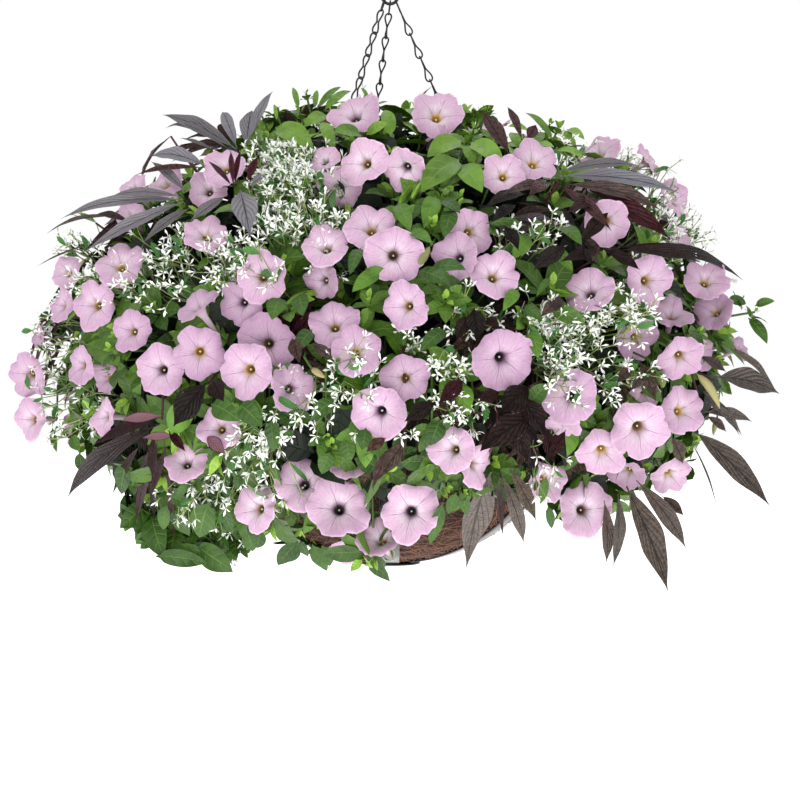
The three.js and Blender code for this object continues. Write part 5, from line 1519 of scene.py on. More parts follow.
    def single(self, draw: np.random.Generator) -> Surface:
        """The broad leaves that the photograph shows one by one.

        Args:
            draw: the stream of random numbers.

        Returns:
            One surface for them all.
        """
        base = PHOTO.seen(DOME, SEEN_LEAVES[:, :2], 0.99)
        tip = PHOTO.seen(DOME, SEEN_LEAVES[:, 2:4], 1.03)
        most = 0.7 * np.linalg.norm(SEEN_LEAVES[:, 2:4] - SEEN_LEAVES[:, :2], axis=1)
        tip = PHOTO.slid(DOME, tip, base[:, 1] + np.clip(tip[:, 1] - base[:, 1], -most, most))
        normal = unit(0.5 * DOME.outward(base) + 0.3 * UP - AWAY + draw.normal(0, 0.12, base.shape))
        width = SEEN_LEAVES[:, 4] * PHOTO.spread(base)
        shift = draw.uniform(-5, 3, (len(base), 1)) * AWAY
        shade = tints(len(base), draw)
        # Painted light and shade: leaves near the top are made fresher and younger, those low down darker
        high = np.clip((190 - SEEN_LEAVES[:, 1]) / 60, 0, 1)
        shade[:, 1] += (1 - shade[:, 1]) * 0.6 * high
        shade[:, 1] *= np.where(SEEN_LEAVES[:, 1] > 400, 0.35, 1.0)
        shade[:, 2] = 0.5 * high * shade[:, 0]
        return blades(base + shift, tip + shift, normal, width, 0.08, OVATE, shade, draw, 13, 9)

    def inner(self, draw: np.random.Generator) -> Surface:
        """Four leaves round each of many points inside the dome, near-black green as painted shade.

        Args:
            draw: the stream of random numbers.

        Returns:
            One surface for them all.
        """
        azimuth, tilt = DOME.scatter(self.inner_count, 140, draw)
        middle = DOME.at(azimuth, tilt, draw.uniform(0.62, 0.84, len(tilt)))
        middle = middle[~before_bowl(middle, 80)]
        level = np.hypot(middle[:, 0], middle[:, 1])
        middle = middle[(level > 195) | (middle[:, 2] > -480)]
        count = len(middle)
        base = np.repeat(middle, 4, axis=0)
        way = unit(draw.normal(0, 1, (4 * count, 3)) + 0.4 * np.repeat(DOME.outward(middle), 4, axis=0))
        length = draw.uniform(34, 52, 4 * count)
        normal = unit(np.repeat(DOME.outward(middle), 4, axis=0) + draw.normal(0, 0.4, (4 * count, 3)))
        tip = base + way * length[:, None]
        keep = ~before_bowl(tip, 80)
        base, tip, normal, length = base[keep], tip[keep], normal[keep], length[keep]
        return blades(base, tip, normal, 0.6 * length, 0.1, OVATE, tints(len(base), draw), draw, 5, 3)

    def build(self, blooms: PetuniaBlooms) -> None:
        """Makes and dresses the leaves and their stems.

        Args:
            blooms: the flowers, whose faces stay free.
        """
        draw = np.random.default_rng(23)
        tips = self.tips(blooms, draw)
        low, low_tips = self.hanging(draw)
        leaves = Surface.joined([self.whorls(tips, blooms, draw), self.single(draw), low])
        tips = np.concatenate([tips, low_tips])
        piece = leaves.put("petunia_leaves", PETUNIA_LEAF.build())
        dress(piece, "petunia_leaf", *nodes_named("petunia_leafy_stem"))
        paths = stem_paths(tips, DOME.outward(tips), 7)
        stems = tubes(paths, np.linspace(1.6, 1.1, 7), 4, tints(len(tips), draw))
        dress(stems.put("petunia_stems", PETUNIA_STEM.build()), "petunia_leaf")
        dress(self.inner(draw).put("painted_shade_leaves", PAINTED_SHADE_LEAF.build()), "petunia_leaf")


# Patches of dark vine in the photograph: column, row, half width, half height, leaves added deep inside
VINE_PATCHES = np.array([
    (180, 150, 40, 24, 1), (112, 218, 44, 18, 5), (220, 190, 30, 20, 1), (570, 190, 50, 26, 4),
    (640, 206, 40, 30, 3), (600, 250, 50, 20, 4), (700, 262, 30, 14, 1), (510, 420, 34, 30, 4),
    (512, 380, 20, 24, 3), (570, 310, 24, 18, 2), (130, 450, 36, 30, 2), (160, 420, 20, 20, 1),
    (560, 440, 30, 24, 3), (620, 380, 26, 20, 2), (384, 458, 20, 20, 2), (480, 320, 20, 26, 3),
    (440, 400, 26, 16, 2), (300, 350, 20, 16, 2), (700, 400, 20, 24, 2), (510, 210, 24, 20, 2),
], float)


@dataclass
class SweetPotatoVine:
    """Dark sweet-potato vine: palmate leaves of long lance-shaped lobes on wine-red stalks."""

    far_leaves: int = 7
    beside: int = 3
    # A leaf's lobes: how each is turned from the middle one, in radians, and how much shorter it is for that
    fan: tuple[float, ...] = (0.0, -0.55, 0.55, -1.1, 1.1)
    shorter: float = 0.25
    lobe_breadth: float = 0.27

    def shown(self, draw: np.random.Generator) -> Surface:
        """The lobes that the photograph shows, one by one.

        Args:
            draw: the stream of random numbers.

        Returns:
            One surface for them all.
        """
        base = PHOTO.seen(DOME, SEEN_LOBES[:, :2], 1.02)
        tip = PHOTO.seen(DOME, SEEN_LOBES[:, 2:4], 1.06)
        shift = draw.uniform(-3, 3, (len(base), 1)) * AWAY
        normal = unit(0.6 * DOME.outward(base) + 0.25 * UP - AWAY + draw.normal(0, 0.12, base.shape))
        column, row, _, _, breadth, wine, under = SEEN_LOBES.T
        shade = tints(len(base), draw, wine)
        # Painted sheen: upper lobes where the key light falls get a large share of the grey sheen colour, the rest
        # little or none
        sheen_lit = (wine < 0.25) & (row < np.where(column < 255, 225, 181)) & (np.abs(column - 400) > 140)
        dark = ((column < 245) & (row > 375)) | ((column > 430) & (column < 570) & (row > 300) & (row < 465))
        dark |= ~sheen_lit & (column > 495) & (column < 650) & (row > 186) & (row < 262)
        shade[:, 1] = np.where(dark, 0.15 * shade[:, 1], 0.3 + 0.6 * shade[:, 1])
        shade[:, 0] = np.where(sheen_lit, 0.5 + 0.5 * shade[:, 0], np.where(dark, 0.0, 0.12 * shade[:, 0]))
        shade[:, 3] = under
        width = breadth * PHOTO.spread(base)
        arch = draw.uniform(-0.02, 0.06, len(base))
        return blades(base + shift, tip + shift, normal, width, arch, LANCE, shade, draw, 17, 9, thickness=0.5)

    def behind(self, draw: np.random.Generator) -> tuple[Array, Array, Array]:
        """The leaves on the far half: where the solids have them, and three more beside each.

        Args:
            draw: the stream of random numbers for the leaves beside them.

        Returns:
            Bases, headings of the middle lobes and their reaches.
        """
        same = repeatable(37)
        azimuth, tilt = DOME.behind(self.far_leaves, 116, same)
        base = DOME.at(azimuth + 0.35, tilt, 0.97)
        own = np.array([[next(same), next(same)] for _ in base])
        reach = 62 + 24 * own[:, 0]
        heading = -math.pi / 2 + 1.2 * (own[:, 1] - 0.5)
        count = self.far_leaves
        beside = [DOME.at(azimuth + 0.35 + draw.normal(0, 0.14, count), tilt + draw.normal(0, 0.12, count), 0.93)
                  for _ in range(self.beside)]
        bases, more = np.concatenate([base, *beside]), self.beside * count
        headings = np.concatenate([heading, draw.normal(-math.pi / 2, 0.7, more)])
        return bases, headings, np.concatenate([reach, draw.uniform(56, 84, more)])

    def inside(self, blooms: PetuniaBlooms, draw: np.random.Generator) -> tuple[Array, Array, Array]:
        """Leaves deep inside the patches of vine that the photograph shows: bases, headings and reaches.

        Args:
            blooms: the flowers, whose faces stay free.
            draw: the stream of random numbers.

        Returns:
            Bases, headings of the middle lobes and their reaches.
        """
        patches = np.repeat(VINE_PATCHES, VINE_PATCHES[:, 4].astype(int), axis=0)
        place = patches[:, :2] + draw.uniform(-0.8, 0.8, (len(patches), 2)) * patches[:, 2:4]
        base = clear_of(PHOTO.seen(DOME, place, draw.uniform(0.8, 0.9, len(place))), blooms, 2, 26)
        return base, draw.normal(-math.pi / 2, 1.0, len(base)), draw.uniform(42, 64, len(base))

    def palms(self, bases: Array, headings: Array, reaches: Array, blooms: PetuniaBlooms,
              draw: np.random.Generator) -> Surface:
        """Leaves of five lobes that spread in a fan from the end of the stalk, the outer ones shorter.

        Args:
            bases: the stalks' ends, (n, 3).
            headings: where the middle lobes point.
            reaches: how long they are.
            blooms: the flowers, whose faces stay free.
            draw: the stream of random numbers.

        Returns:
            One surface for them all.
        """
        out = DOME.outward(bases)
        across, over = level_frame(out)
        fan, lobes = np.array(self.fan), len(self.fan)
        turn = headings[:, None] + fan
        reach = reaches[:, None] * (1 - self.shorter * np.abs(fan))
        tips = bases[:, None] + across[:, None] * (reach * np.cos(turn))[..., None]
        tips = tips + over[:, None] * (reach * np.sin(turn))[..., None] + out[:, None] * 12
        shade = tints(lobes * len(bases), draw)
        # Painted sheen: the share of grey sheen colour grows with the leaf's height
        shade[:, 0] *= 0.5 * np.repeat(np.clip((bases[:, 2] + 420) / 150, 0.1, 1), lobes)
        shade[:, 2] = np.repeat(draw.random(len(bases)) ** 4, lobes)
        tips = clear_of(tips.reshape(-1, 3), blooms, 6, 10)
        seat, normal = np.repeat(bases, lobes, axis=0), np.repeat(out, lobes, axis=0)
        width, arch = (self.lobe_breadth * reach).ravel(), draw.uniform(0.0, 0.08, len(tips))
        keep = within(PHOTO.places(DOME, tips), MASS_OUTLINE) | (seat[:, 1] > 0)
        return blades(
            seat[keep], tips[keep], normal[keep], width[keep], arch[keep], LANCE, shade[keep], draw, 11, 5,
            thickness=0.5)

    def build(self, blooms: PetuniaBlooms) -> None:
        """Makes and dresses the leaves, their stalks and stems.

        Args:
            blooms: the flowers, whose faces stay free.
        """
        draw = np.random.default_rng(37)
        far, near = self.behind(draw), self.inside(blooms, draw)
        leaves = Surface.joined([
            self.shown(draw), self.palms(*far, blooms, draw), self.palms(*near, blooms, draw)])
        dress(leaves.put("vine_leaves", VINE_LEAF.build()), "vine_leaf", *nodes_named("vine"))
        ends = np.concatenate([PHOTO.seen(DOME, SEEN_VINE_STALKS, 1.0), far[0], near[0]])
        paths = stem_paths(ends, DOME.outward(ends), 12)
        paths = clear_of(paths.reshape(-1, 3), blooms, 3, 6).reshape(paths.shape)
        stems = tubes(paths, np.linspace(2.0, 1.1, 12), 5, tints(len(ends), draw))
        dress(stems.put("vine_stems", VINE_STEM.build()), "vine_leaf")


@dataclass
class Euphorbia:
    """White euphorbia: wiry stems that fork twice, each tip with narrow white bracts round a tiny green bud."""

    share: float = 0.7
    forks: int = 3
    tips: int = 2
    bracts: int = 4
    far_places: int = 10
    far_sprays: int = 14

    def ends(self, blooms: PetuniaBlooms, draw: np.random.Generator) -> Array:
        """The middle of each spray: in the photograph's patches, before a few flowers, and round the places where
        the solids have theirs on the far half.

        Args:
            blooms: the flowers, whose faces stay free.
            draw: the stream of random numbers.

        Returns:
            The sprays' middles, (n, 3), those before flowers first.
        """
        counts = np.round(EUPHORBIA_PATCHES[:, 4] * self.share).astype(int)
        patches = np.repeat(EUPHORBIA_PATCHES, counts, axis=0)
        turn = draw.uniform(0, TURN, len(patches))
        far = np.sqrt(draw.random(len(patches)))
        place = patches[:, :2] + np.stack([far * np.cos(turn), far * np.sin(turn)], axis=-1) * patches[:, 2:4]
        front = clear_of(PHOTO.seen(DOME, place, draw.uniform(0.93, 0.99, len(place))), blooms, 2, 8)
        over = PHOTO.seen(DOME, SEEN_OVER_BLOOMS, 1.04)
        # The solids draw a number for each of 32 seen heads before these, and set one head where several stand here
        azimuth, tilt = DOME.behind(self.far_places, 116, repeatable(53, 32))
        shift = draw.normal(0, 0.15, (2, self.far_sprays, self.far_places))
        shift[:, 0] = 0
        rest = DOME.at((azimuth - 0.22 + shift[0]).ravel(), (tilt - 0.06 + shift[1]).ravel(), 0.98)
        return np.concatenate([over, front, clear_of(rest, blooms, 2, 8)])

    def round_tips(self, tip: Array, axis: Array, draw: np.random.Generator) -> Surface:
        """Narrow bracts round each tip, opened by 20 to 72 degrees from its axis.

        Args:
            tip: the twigs' ends, (n, 3).
            axis: their directions, (n, 3).
            draw: the stream of random numbers.

        Returns:
            One surface for them all.
        """
        across, along = level_frame(axis)
        turn = TURN * np.arange(self.bracts) / self.bracts + draw.uniform(0, 6, (len(tip), 1))
        open_by = draw.uniform(0.35, 1.25, (len(tip), self.bracts))
        side = swung(across[:, None], along[:, None], turn)
        length = draw.uniform(5.5, 9.5, turn.shape)
        ways = (swung(axis[:, None], side, open_by) * length[..., None]).reshape(-1, 3)
        upper = swung(-side, axis[:, None], open_by).reshape(-1, 3)
        base = np.repeat(tip, self.bracts, axis=0)
        size = len(base)
        return blades(
            base, base + ways, upper, draw.uniform(1.8, 2.9, size), draw.uniform(-0.2, 0.2, size), BRACT,
            tints(size, draw), draw, 4, 3)

    def at_forks(self, fork: Array, axis: Array, blooms: PetuniaBlooms, draw: np.random.Generator) -> Surface:
        """A small green leaf at each fork.

        Args:
            fork: the forks, (n, 3).
            axis: the stems' directions there, (n, 3).
            blooms: the flowers, whose faces stay free.
            draw: the stream of random numbers.

        Returns:
            One surface for them all.
        """
        way = unit(axis + draw.normal(0, 0.9, fork.shape))
        length = draw.uniform(10, 19, len(fork))
        tip = clear_of(fork + way * length[:, None], blooms, 0, 4)
        normal = unit(axis + draw.normal(0, 0.5, fork.shape))
        arch = draw.uniform(0, 0.1, len(fork))
        return blades(fork, tip, normal, 0.4 * length, arch, ELLIPTIC, tints(len(fork), draw), draw, 5, 3)

    def build(self, blooms: PetuniaBlooms) -> None:
        """Makes and dresses the bracts, leaves, stems and buds.

        Args:
            blooms: the flowers, whose faces stay free.
        """
        draw = np.random.default_rng(53)
        middle = self.ends(blooms, draw)
        log.info("euphorbia: %d sprays", len(middle))
        out = DOME.outward(middle)
        root = middle - out * 34
        forked, tipped = (partial(np.repeat, repeats=count, axis=0) for count in (self.forks, self.tips))
        axis = forked(out)
        fork = forked(middle) - axis * 8 + draw.normal(0, 8, axis.shape)
        tip = tipped(fork) + tipped(axis) * 11
        tip += draw.normal(0, 6.0, tip.shape)
        spare = len(SEEN_OVER_BLOOMS) * self.forks * self.tips
        tip[spare:] = clear_of(tip[spare:], blooms, -1, 3)
        tip_axis = unit(tip - tipped(fork))
        white = self.round_tips(tip, tip_axis, draw).put("euphorbia_bracts", BRACT_TISSUE.build())
        dress(white, "euphorbia_bract", *nodes_named("euphorbia"))
        green = self.at_forks(fork, axis, blooms, draw)
        dress(green.put("euphorbia_leaves", EUPHORBIA_LEAF.build()), "euphorbia_bract")
        main = tubes(stem_paths(root, out, 9), np.linspace(1.0, 0.7, 9), 3, tints(len(root), draw))
        dress(main.put("euphorbia_main_stems", WIRY_ROOTSTOCK.build()), "euphorbia_bract")
        # Twigs from a stem's end to its forks, and from these to the tips: corners, stations, first and last radius
        twigs = (
            ([forked(root), forked(root + out * 8), fork - axis * 5, fork], 4, 0.7, 0.55),
            ([tipped(fork), tipped(fork + axis * 3), tip - tip_axis * 3, tip], 3, 0.55, 0.4),
        )
        wires = [tubes(bezier(corners, rows), np.linspace(thick, thin, rows), 3, tints(len(corners[0]), draw))
                 for corners, rows, thick, thin in twigs]
        wires.append(beads(tip, tip_axis, 1.3, 1.1, 4, 3, tints(len(tip), draw)))
        dress(Surface.joined(wires).put("euphorbia_stems", WIRY_STEM.build()), "euphorbia_bract")


@dataclass
class Basket:
    """A bowl of flat enamelled bands round a pressed coir liner full of potting mix."""

    rim_radius: float = 178.0
    rim_drop: float = 497.0
    depth: float = 147.0
    rim_band: float = 18.0
    band: float = 2.2
    rim_slack: float = 0.35
    rib_width: float = 19.0
    rib_slack: float = 0.7
    ribs: int = 6
    front_rib: float = -90.0
    liner: float = 8.0
    strands: int = 4200
    soil_drop: float = 11.0
    soil_radius: float = 166.5
    plate_radius: float = 30.0
    rivet_radius: float = 3.4
    rivet_height: float = 2.0
    eye_radius: float = 4.8
    eye_wire: float = 1.3
    eye_lift: float = 3.6
    chain_azimuths: tuple[float, ...] = (107.8, 227.8, 347.8)

    @property
    def eye_place(self) -> tuple[float, float]:
        """Distance from the axis and height of the eyes' middles."""
        return self.rim_radius + self.band / 2 + self.rim_slack, -self.rim_drop + self.rim_band / 2 + self.eye_lift

    @property
    def rib_angles(self) -> Array:
        """The ribs' bearings, in radians."""
        return np.radians(self.front_rib + 360 / self.ribs * np.arange(self.ribs))

    def oval(self, inset: float, part: Array) -> tuple[Array, Array]:
        """Radius and height of the bowl at a share of its depth: a quarter ellipse, moved in by inset."""
        angle = 0.5 * math.pi * part
        return (self.rim_radius - inset) * np.cos(angle), -self.rim_drop - (self.depth - inset) * np.sin(angle)

    def lathed(self, radius: Array, height: Array, columns: int, draw: np.random.Generator,
               wobble: Array | float = 0.0, lift: Array | float = 0.0) -> Surface:
        """A profile turned about the vertical axis.

        Args:
            radius: the profile's distances from the axis, (rows,).
            height: its heights, (rows,).
            columns: corners round the axis.
            draw: the stream of random numbers.
            wobble: what is added to the radii, (rows, columns).
            lift: what is added to the heights, (rows, columns).

        Returns:
            The surface.
        """
        grid = upright(radius[:, None] + wobble, around(columns), height[:, None] + lift)[None]
        return lattice(grid, np.zeros(grid.shape[1:3] + (2,)), tints(1, draw), wrap=True)

    def ripples(self, columns: int, level: Array, waves: tuple, most: tuple[float, float],
                draw: np.random.Generator) -> Array:
        """Sums of sines round the axis.

        Args:
            columns: corners round the axis.
            level: how far each row is along the profile, (rows, 1).
            waves: for each sine, how many waves go round, and how fast it turns with the level.
            most: the least and largest height of a wave.
            draw: the stream of random numbers.

        Returns:
            Heights, (rows, columns).
        """
        angle = around(columns)
        return sum(draw.uniform(*most) * np.sin(count * angle + slope * level + draw.uniform(0, 6))
                   for count, slope in waves)

    def make_liner(self, draw: np.random.Generator) -> None:
        """Coir bowl: outer oval, torn brim and inner oval.

        Args:
            draw: the stream of random numbers.
        """
        rows, columns = 34, 160
        part = np.linspace(1, 0, rows)
        outer, low = self.oval(0.3, part)
        inner, deep = self.oval(self.liner, part[::-1])
        radius = np.concatenate([outer, self.rim_radius - np.array([1.2, 4.5, 7.4]), inner])
        height = np.concatenate([low, -self.rim_drop + np.array([4.2, 6.2, 4.0]), deep])
        level = 0.4 * np.arange(len(radius))[:, None]
        bumps = self.ripples(
            columns, level, ((5, 1), (9, 2), (17, -1), (29, 3), (41, -2), (60, 4)), (0.15, 0.4), draw)
        bumps = bumps * np.minimum(1, radius / 60)[:, None]
        bumps[:rows] -= 0.5
        shell = self.lathed(radius, height, columns, draw, wobble=bumps)
        dress(shell.put("coir_liner_matted", CoirMat().build()), "coir", "coir_liner")

    def make_strands(self, draw: np.random.Generator) -> None:
        """Loose strands on the liner's outside. Their ends are set back onto an oval 1 mm outside the bowl's.

        Args:
            draw: the stream of random numbers.
        """
        count = self.strands
        turn = draw.uniform(0, TURN, count)
        wide, tall = self.oval(-0.1, draw.uniform(0, 0.97, count))
        base = upright(wide, turn, tall)
        normal = unit(base * (1.0, 1.0, 0.0) / self.rim_radius ** 2
                      + UP * ((base[:, 2:] + self.rim_drop) / self.depth ** 2))
        way = swung(*level_frame(normal), draw.normal(0, 0.8, count))
        tip = base + way * draw.uniform(16, 46, (count, 1))
        depth = np.hypot(np.hypot(tip[:, 0], tip[:, 1]) / (self.rim_radius + 1),
                         np.minimum(tip[:, 2] + self.rim_drop, 0) / (self.depth + 1))
        tip[:, :2] /= depth[:, None]
        tip[:, 2] = -self.rim_drop + (tip[:, 2] + self.rim_drop) / depth
        fibres = blades(
            base, tip, normal, draw.uniform(0.5, 1.1, count), draw.uniform(0.02, 0.07, count), STRAND,
            tints(count, draw), draw, 5, 2)
        dress(fibres.put("coir_strands", COIR_STRAND.build()), "coir")

    def section(self, width: float) -> Array:
        """A flat band's cross-section: a rectangle with rounded corners, as (across, out) pairs.

        Args:
            width: the band's width.

        Returns:
            Sixteen pairs, (16, 2).
        """
        angle = around(16) + math.pi / 16
        soft = 0.45 * self.band
        across = np.sign(np.cos(angle)) * (width / 2 - soft) + soft * np.cos(angle)
        out = np.sign(np.sin(angle)) * (self.band / 2 - soft) + soft * np.sin(angle)
        return np.stack([across, out + self.band / 2], axis=-1)

    def rib_bands(self, draw: np.random.Generator) -> Surface:
        """Ribs: the band's section carried down the oval, square to it.

        Args:
            draw: the stream of random numbers.

        Returns:
            One surface for them all.
        """
        across, thick = self.section(self.rib_width).T
        part = np.linspace(0, 1, 30)
        angle = 0.5 * math.pi * part
        radius, height = self.oval(-self.rib_slack, part)
        out = unit(np.stack([np.cos(angle) / self.rim_radius, -np.sin(angle) / self.depth], axis=-1))
        wide = radius[:, None] + out[:, :1] * thick
        tall = height[:, None] + out[:, 1:] * thick
        azimuth = self.rib_angles[:, None, None]
        grid = np.stack(np.broadcast_arrays(
            wide * np.cos(azimuth) - across * np.sin(azimuth), wide * np.sin(azimuth) + across * np.cos(azimuth),
            tall), axis=-1)
        return lattice(grid, np.zeros(grid.shape[1:3] + (2,)), tints(self.ribs, draw), wrap=True)

    def rim(self, draw: np.random.Generator) -> Surface:
        """Rim: the band's section, closed and turned round the top.

        Args:
            draw: the stream of random numbers.

        Returns:
            The rim.
        """
        section = self.section(self.rim_band)
        up, out = np.concatenate([section, section[:1]])[::-1].T
        return self.lathed(self.rim_radius + self.rim_slack + out, -self.rim_drop + up, 128, draw)

    def plate(self, draw: np.random.Generator) -> Surface:
        """Base plate: a round disc with softened edges, under the ribs' crossing.

        Args:
            draw: the stream of random numbers.

        Returns:
            The plate.
        """
        floor = -self.rim_drop - self.depth - self.rib_slack
        radius = self.plate_radius * np.array([0.0, 0.96, 1.0, 1.0, 0.96, 0.0])
        return self.lathed(radius, floor - np.array([2.9, 2.9, 2.6, 0.9, 0.6, 0.6]), 48, draw)

    def eyes(self, draw: np.random.Generator) -> Surface:
        """Three wire rings that stand on the rim, where the chains hang on.

        Args:
            draw: the stream of random numbers.

        Returns:
            One surface for them all.
        """
        angle = around(24)
        azimuth = np.radians(np.array(self.chain_azimuths))[:, None]
        seat, level = self.eye_place
        rings = np.stack(np.broadcast_arrays(
            seat * np.cos(azimuth) + self.eye_radius * np.cos(angle) * np.cos(azimuth),
            seat * np.sin(azimuth) + self.eye_radius * np.cos(angle) * np.sin(azimuth),
            level + self.eye_radius * np.sin(angle)), axis=-1)
        return tubes(rings, self.eye_wire, 10, tints(3, draw), closed=True)

    def rivets(self, draw: np.random.Generator) -> Surface:
        """A domed rivet head at the top of each rib, on the rim's outside, of circles sqrt(1 - t^2) wide.

        Args:
            draw: the stream of random numbers.

        Returns:
            One surface for them all.
        """
        way = upright(1.0, self.rib_angles, 0.0)
        rise = np.linspace(0, 1, 6)
        middle = way * (self.rim_radius + 2.4) + UP * -self.rim_drop
        paths = middle[:, None] + way[:, None] * (self.rivet_height * rise)[:, None]
        return tubes(paths, self.rivet_radius * np.sqrt(1 - rise ** 2), 12, tints(self.ribs, draw))

    def make_frame(self) -> None:
        """The banded steel bowl in one piece."""
        draw = np.random.default_rng(62)
        parts = [make(draw) for make in (self.rib_bands, self.rim, self.plate, self.eyes, self.rivets)]
        dress(Surface.joined(parts).put("banded_frame", BAND_ENAMEL.build()), "band_steel", "basket_frame")

    def make_soil(self) -> None:
        """Potting mix: a closed turned form, a little heaped, and bumped on top."""
        draw = np.random.default_rng(63)
        columns, side_rows, top_rows = 96, 14, 22
        side_r, side_z = self.oval(self.liner + 0.8, np.linspace(1, 0.08, side_rows))
        top_r = np.linspace(self.soil_radius, 0, top_rows)
        top_z = -self.rim_drop - self.soil_drop + 4 * (1 - top_r / 167)
        bumps = self.ripples(
            columns, np.arange(top_rows)[:, None], ((3, 1.1), (7, 0.7), (12, 1.9), (19, 0.4), (31, 2.6)),
            (0.3, 0.9), draw)
        lift = np.zeros((side_rows + top_rows, columns))
        lift[side_rows:] = (
            bumps * np.minimum(1, top_r / 40)[:, None] * np.minimum(1, (self.soil_radius - top_r) / 9)[:, None])
        radius, height = np.concatenate([side_r, top_r]), np.concatenate([side_z, top_z])
        soil = self.lathed(radius, height, columns, draw, lift=lift)
        dress(soil.put("potting_mix_bed", PottingMix().build()), "soil", "potting_soil")

    def build(self) -> None:
        """Makes the bowl, its liner and its filling."""
        draw = np.random.default_rng(61)
        self.make_liner(draw)
        self.make_strands(draw)
        self.make_frame()
        self.make_soil()


@dataclass
class Hanger:
    """A wire hook with a ring and three jack chains, each of figure-eight links with their eyes at right angles."""

    hook_wire: float = 1.6
    throat: float = 11.0
    ring_radius: float = 8.0
    ring_drop: float = 80.0
    chain_wire: float = 0.9
    link_half_width: float = 3.4
    links: int = 18
    loop_half_width: float = 4.0
    loop_half_length: float = 7.0
    gap: float = 0.7
    seats: tuple[float, ...] = (0.0, -48.0, 48.0)

    def make_hook(self) -> None:
        """The hook's wire, along a smooth line through its corners, with rounded ends, and its ring. Both lie in
        the plane that faces the viewer."""
        draw = np.random.default_rng(71)
        bow, high = self.throat + self.hook_wire, -self.throat
        angle = np.radians(np.arange(180, -1, -15))
        bend = zip(bow * np.cos(angle), high + bow * np.sin(angle))
        lead = [(-bow - 1.0, high - 9.0 - 0.8), (-bow - 1.0, high - 9.0), (-bow - 0.6, high - 4.5), *bend]
        corners = ((bow, high), (bow, high - 14), (0.0, high - 16), (0.0, self.ring_radius - self.ring_drop - 0.4))
        tail = bezier([np.array([[x, 0.0, z]]) for x, z in corners], 16)[0, 1:]
        path = np.concatenate([[(x, 0.0, z) for x, z in lead], tail])[None]
        thick = np.full(path.shape[1], self.hook_wire)
        thick[:2] = 0.0, 1.3
        wire = tubes(path, thick, 12, tints(1, draw))
        turn = around(40)
        ring = np.stack([self.ring_radius * np.cos(turn), 0 * turn,
                         -self.ring_drop + self.ring_radius * np.sin(turn)], axis=-1)[None]
        loop = tubes(ring, self.hook_wire, 12, tints(1, draw), closed=True)
        dress(Surface.joined([wire, loop]).put("hanging_hook", HOOK_ENAMEL.build()), "hook_wire", "hook")

    def links_along(self, start: Array, down: Array, pitch: float, count: int, first: Array) -> Array:
        """Middle lines of the links: cos(turn) along the chain and sin(2 turn) to the side, in one upright plane
        for the upper eye and in the plane square to it for the lower.

        Args:
            start: the first link's upper end.
            down: the chain's direction.
            pitch: from link to link.
            count: how many links.
            first: the side to which the upper eyes lie flat.

        Returns:
            Points, (count, 28, 3).
        """
        turn = around(28)
        second = np.cross(down, first)
        upper = 0.5 + 0.5 * np.tanh(4 * np.cos(turn))
        side = unit(first * upper[:, None] + second * (1 - upper)[:, None])
        twist = unit(np.cross(side, down))
        half = 0.5 * pitch + self.chain_wire
        line = (
            -down * (half * np.cos(turn))[:, None]
            + side * (self.link_half_width * np.sin(2 * turn))[:, None]
            + twist * (0.9 * self.chain_wire * np.sin(turn) * np.abs(np.sin(turn)))[:, None]
        )
        middle = start + down * (pitch * (np.arange(count) + 0.5))[:, None]
        return middle[:, None] + line

    def end_loop(self, tip: Array, way: Array, wide: Array) -> Array:
        """A long ring's middle line, from its tip: a circle drawn out along its way.

        Args:
            tip: the end that the ring starts from.
            way: its long direction.
            wide: its short direction.

        Returns:
            Points, (1, 28, 3).
        """
        turn = around(28)
        stretch = self.loop_half_length - self.loop_half_width
        along = self.loop_half_width * np.cos(turn) + stretch * np.tanh(5 * np.cos(turn))
        return (tip + way * self.loop_half_length + way * along[:, None]
                + wide * (self.loop_half_width * np.sin(turn))[:, None])[None]

    def make_chains(self, basket: Basket) -> None:
        """Three chains from the ring to the rim's eyes.

        Args:
            basket: the bowl that the chains carry.
        """
        draw = np.random.default_rng(72)
        lines = []
        for index, azimuth in enumerate(basket.chain_azimuths):
            seat_angle = math.radians(self.seats[index])
            seat = np.array([self.ring_radius * math.sin(seat_angle), 0.0,
                             -self.ring_drop - self.ring_radius * math.cos(seat_angle)])
            outward = np.array([math.cos(math.radians(azimuth)), math.sin(math.radians(azimuth)), 0.0])
            eye_distance, eye_level = basket.eye_place
            eye = outward * eye_distance
            eye[2] = eye_level + (basket.eye_radius - basket.eye_wire - self.chain_wire - self.gap)
            down = unit(eye - seat)
            level = unit(np.cross(down, outward))
            along_ring = np.array([math.cos(seat_angle), 0.0, math.sin(seat_angle)])
            start = seat - down * (self.hook_wire + self.chain_wire + self.gap)
            count = self.links - 2 + (1 if index == 0 else 0)
            span = np.linalg.norm(eye - start) - 4 * self.loop_half_length
            first = start + down * 2 * self.loop_half_length
            lines.append(self.links_along(first, down, span / count, count, level))
            lines.append(self.end_loop(start, down, unit(np.cross(along_ring, down))))
            lines.append(self.end_loop(eye, -down, np.cross(level, down)))
        paths = np.concatenate(lines)
        wires = tubes(paths, self.chain_wire, 6, tints(len(paths), draw), closed=True)
        dress(wires.put("jack_chains", CHAIN_ENAMEL.build()), "chain_wire", *nodes_named("chain"))

    def build(self, basket: Basket) -> None:
        """Makes the hook and the chains."""
        self.make_hook()
        self.make_chains(basket)


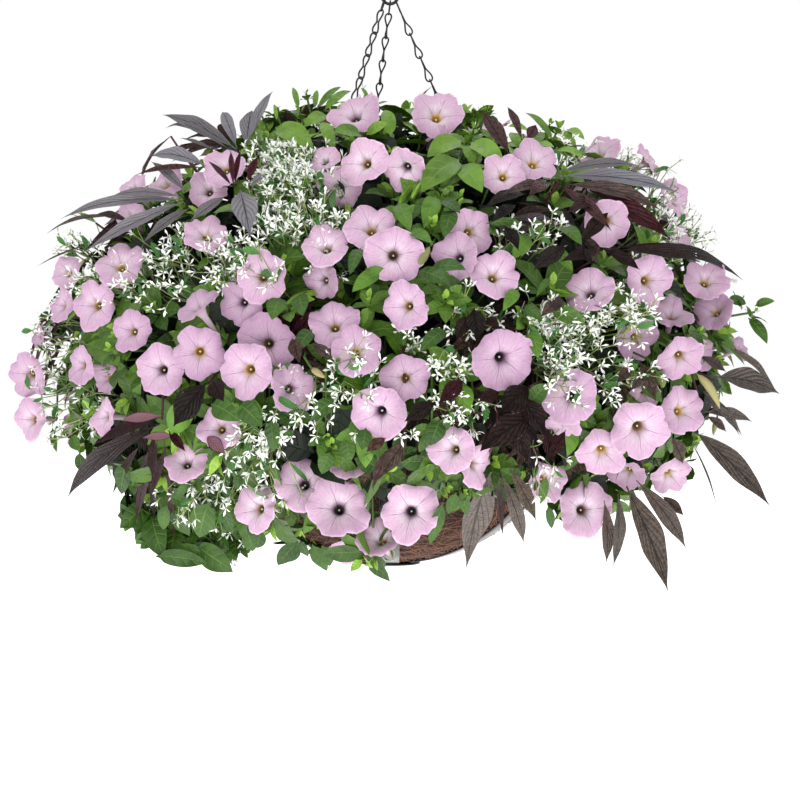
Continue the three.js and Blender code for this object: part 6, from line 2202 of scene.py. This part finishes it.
@dataclass
class Studio:
    """Plain pale floor, soft light all round with a key from the upper left, and the photograph's camera."""

    floor_height: float = -1.6
    floor_size: float = 30.0
    fill: float = 0.64
    # Square area lights: name, place and size in metres, and watts
    softboxes: tuple = (
        ("key_softbox", (-1.3, -2.0, 1.3), 1.4, 18.0),
        ("fill_softbox", (2.0, -1.7, 0.2), 1.8, 3.0),
        ("low_softbox", (0.0, -2.4, -1.0), 1.15, 16.0),
        ("top_softbox", (0.1, 0.5, 1.9), 1.6, 11.0),
        ("back_softbox", (0.8, 2.4, 0.9), 1.6, 11.0),
    )

    def softbox(self, name: str, place: tuple[float, float, float], size: float, watts: float) -> None:
        """A square area light that looks at the planting's middle.

        Args:
            name: the light's name.
            place: where it stands, in metres.
            size: its side, in metres.
            watts: its power.
        """
        lamp = bpy.data.lights.new(name, "AREA")
        lamp.size = size
        lamp.energy = watts
        piece = bpy.data.objects.new(name, lamp)
        way = np.array([0.0, 0.0, 0.001 * DOME.height]) - np.array(place)
        level = math.hypot(way[0], way[1])
        piece.rotation_euler = (math.atan2(level, -way[2]), 0.0, math.atan2(way[1], way[0]) - math.pi / 2)
        piece.location = place
        bpy.context.scene.collection.objects.link(piece)

    def build(self) -> None:
        """Sets floor, sky, lights and camera."""
        size = self.floor_size
        corners = np.array([(-size, -size), (size, -size), (-size, size), (size, size)]) * 1000
        grid = np.concatenate([corners, np.full((4, 1), self.floor_height * 1000)], axis=1).reshape(1, 2, 2, 3)
        floor = lattice(grid, np.zeros((2, 2, 2)), np.zeros((1, 4))).put("studio_floor", StudioPaper().build())
        world = bpy.data.worlds.new("white_studio")
        world.use_nodes = True
        world.node_tree.nodes.clear()
        add = partial(add_node, world.node_tree)
        strength = add(Kind.TIMES_PLUS, add(Kind.CAMERA_RAY), 1.0 - self.fill, self.fill)
        add(Kind.WORLD, add(Kind.SKY, "#ffffff", strength))
        bpy.context.scene.world = world
        for softbox in self.softboxes:
            self.softbox(*softbox)
        camera = bpy.data.cameras.new("photo_camera")
        camera.sensor_width = PHOTO.sensor
        camera.lens = PHOTO.sensor * PHOTO.distance / PHOTO.frame_size
        camera.shift_y = -(0.5 * PHOTO.frame_size - PHOTO.row) / PHOTO.frame_size
        camera.clip_end = 200.0
        view = bpy.data.objects.new("photo_camera", camera)
        view.location = (0.001 * PHOTO.offset, -0.001 * PHOTO.distance, 0.001 * DOME.height)
        view.rotation_euler = (math.pi / 2, 0.0, 0.0)
        bpy.context.scene.collection.objects.link(view)
        bpy.context.scene.camera = view
        bpy.context.scene.view_settings.view_transform = "Standard"


def main() -> None:
    """Builds the sub-assemblies in order."""
    logging.basicConfig(level=logging.INFO, format="%(name)s: %(message)s")
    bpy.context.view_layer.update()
    basket = Basket()
    basket.build()
    Hanger().build(basket)
    blooms = PetuniaBlooms()
    blooms.place()
    blooms.build()
    PetuniaLeaves().build(blooms)
    SweetPotatoVine().build(blooms)
    Euphorbia().build(blooms)
    Studio().build()
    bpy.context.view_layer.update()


if __name__ == "__main__":
    main()
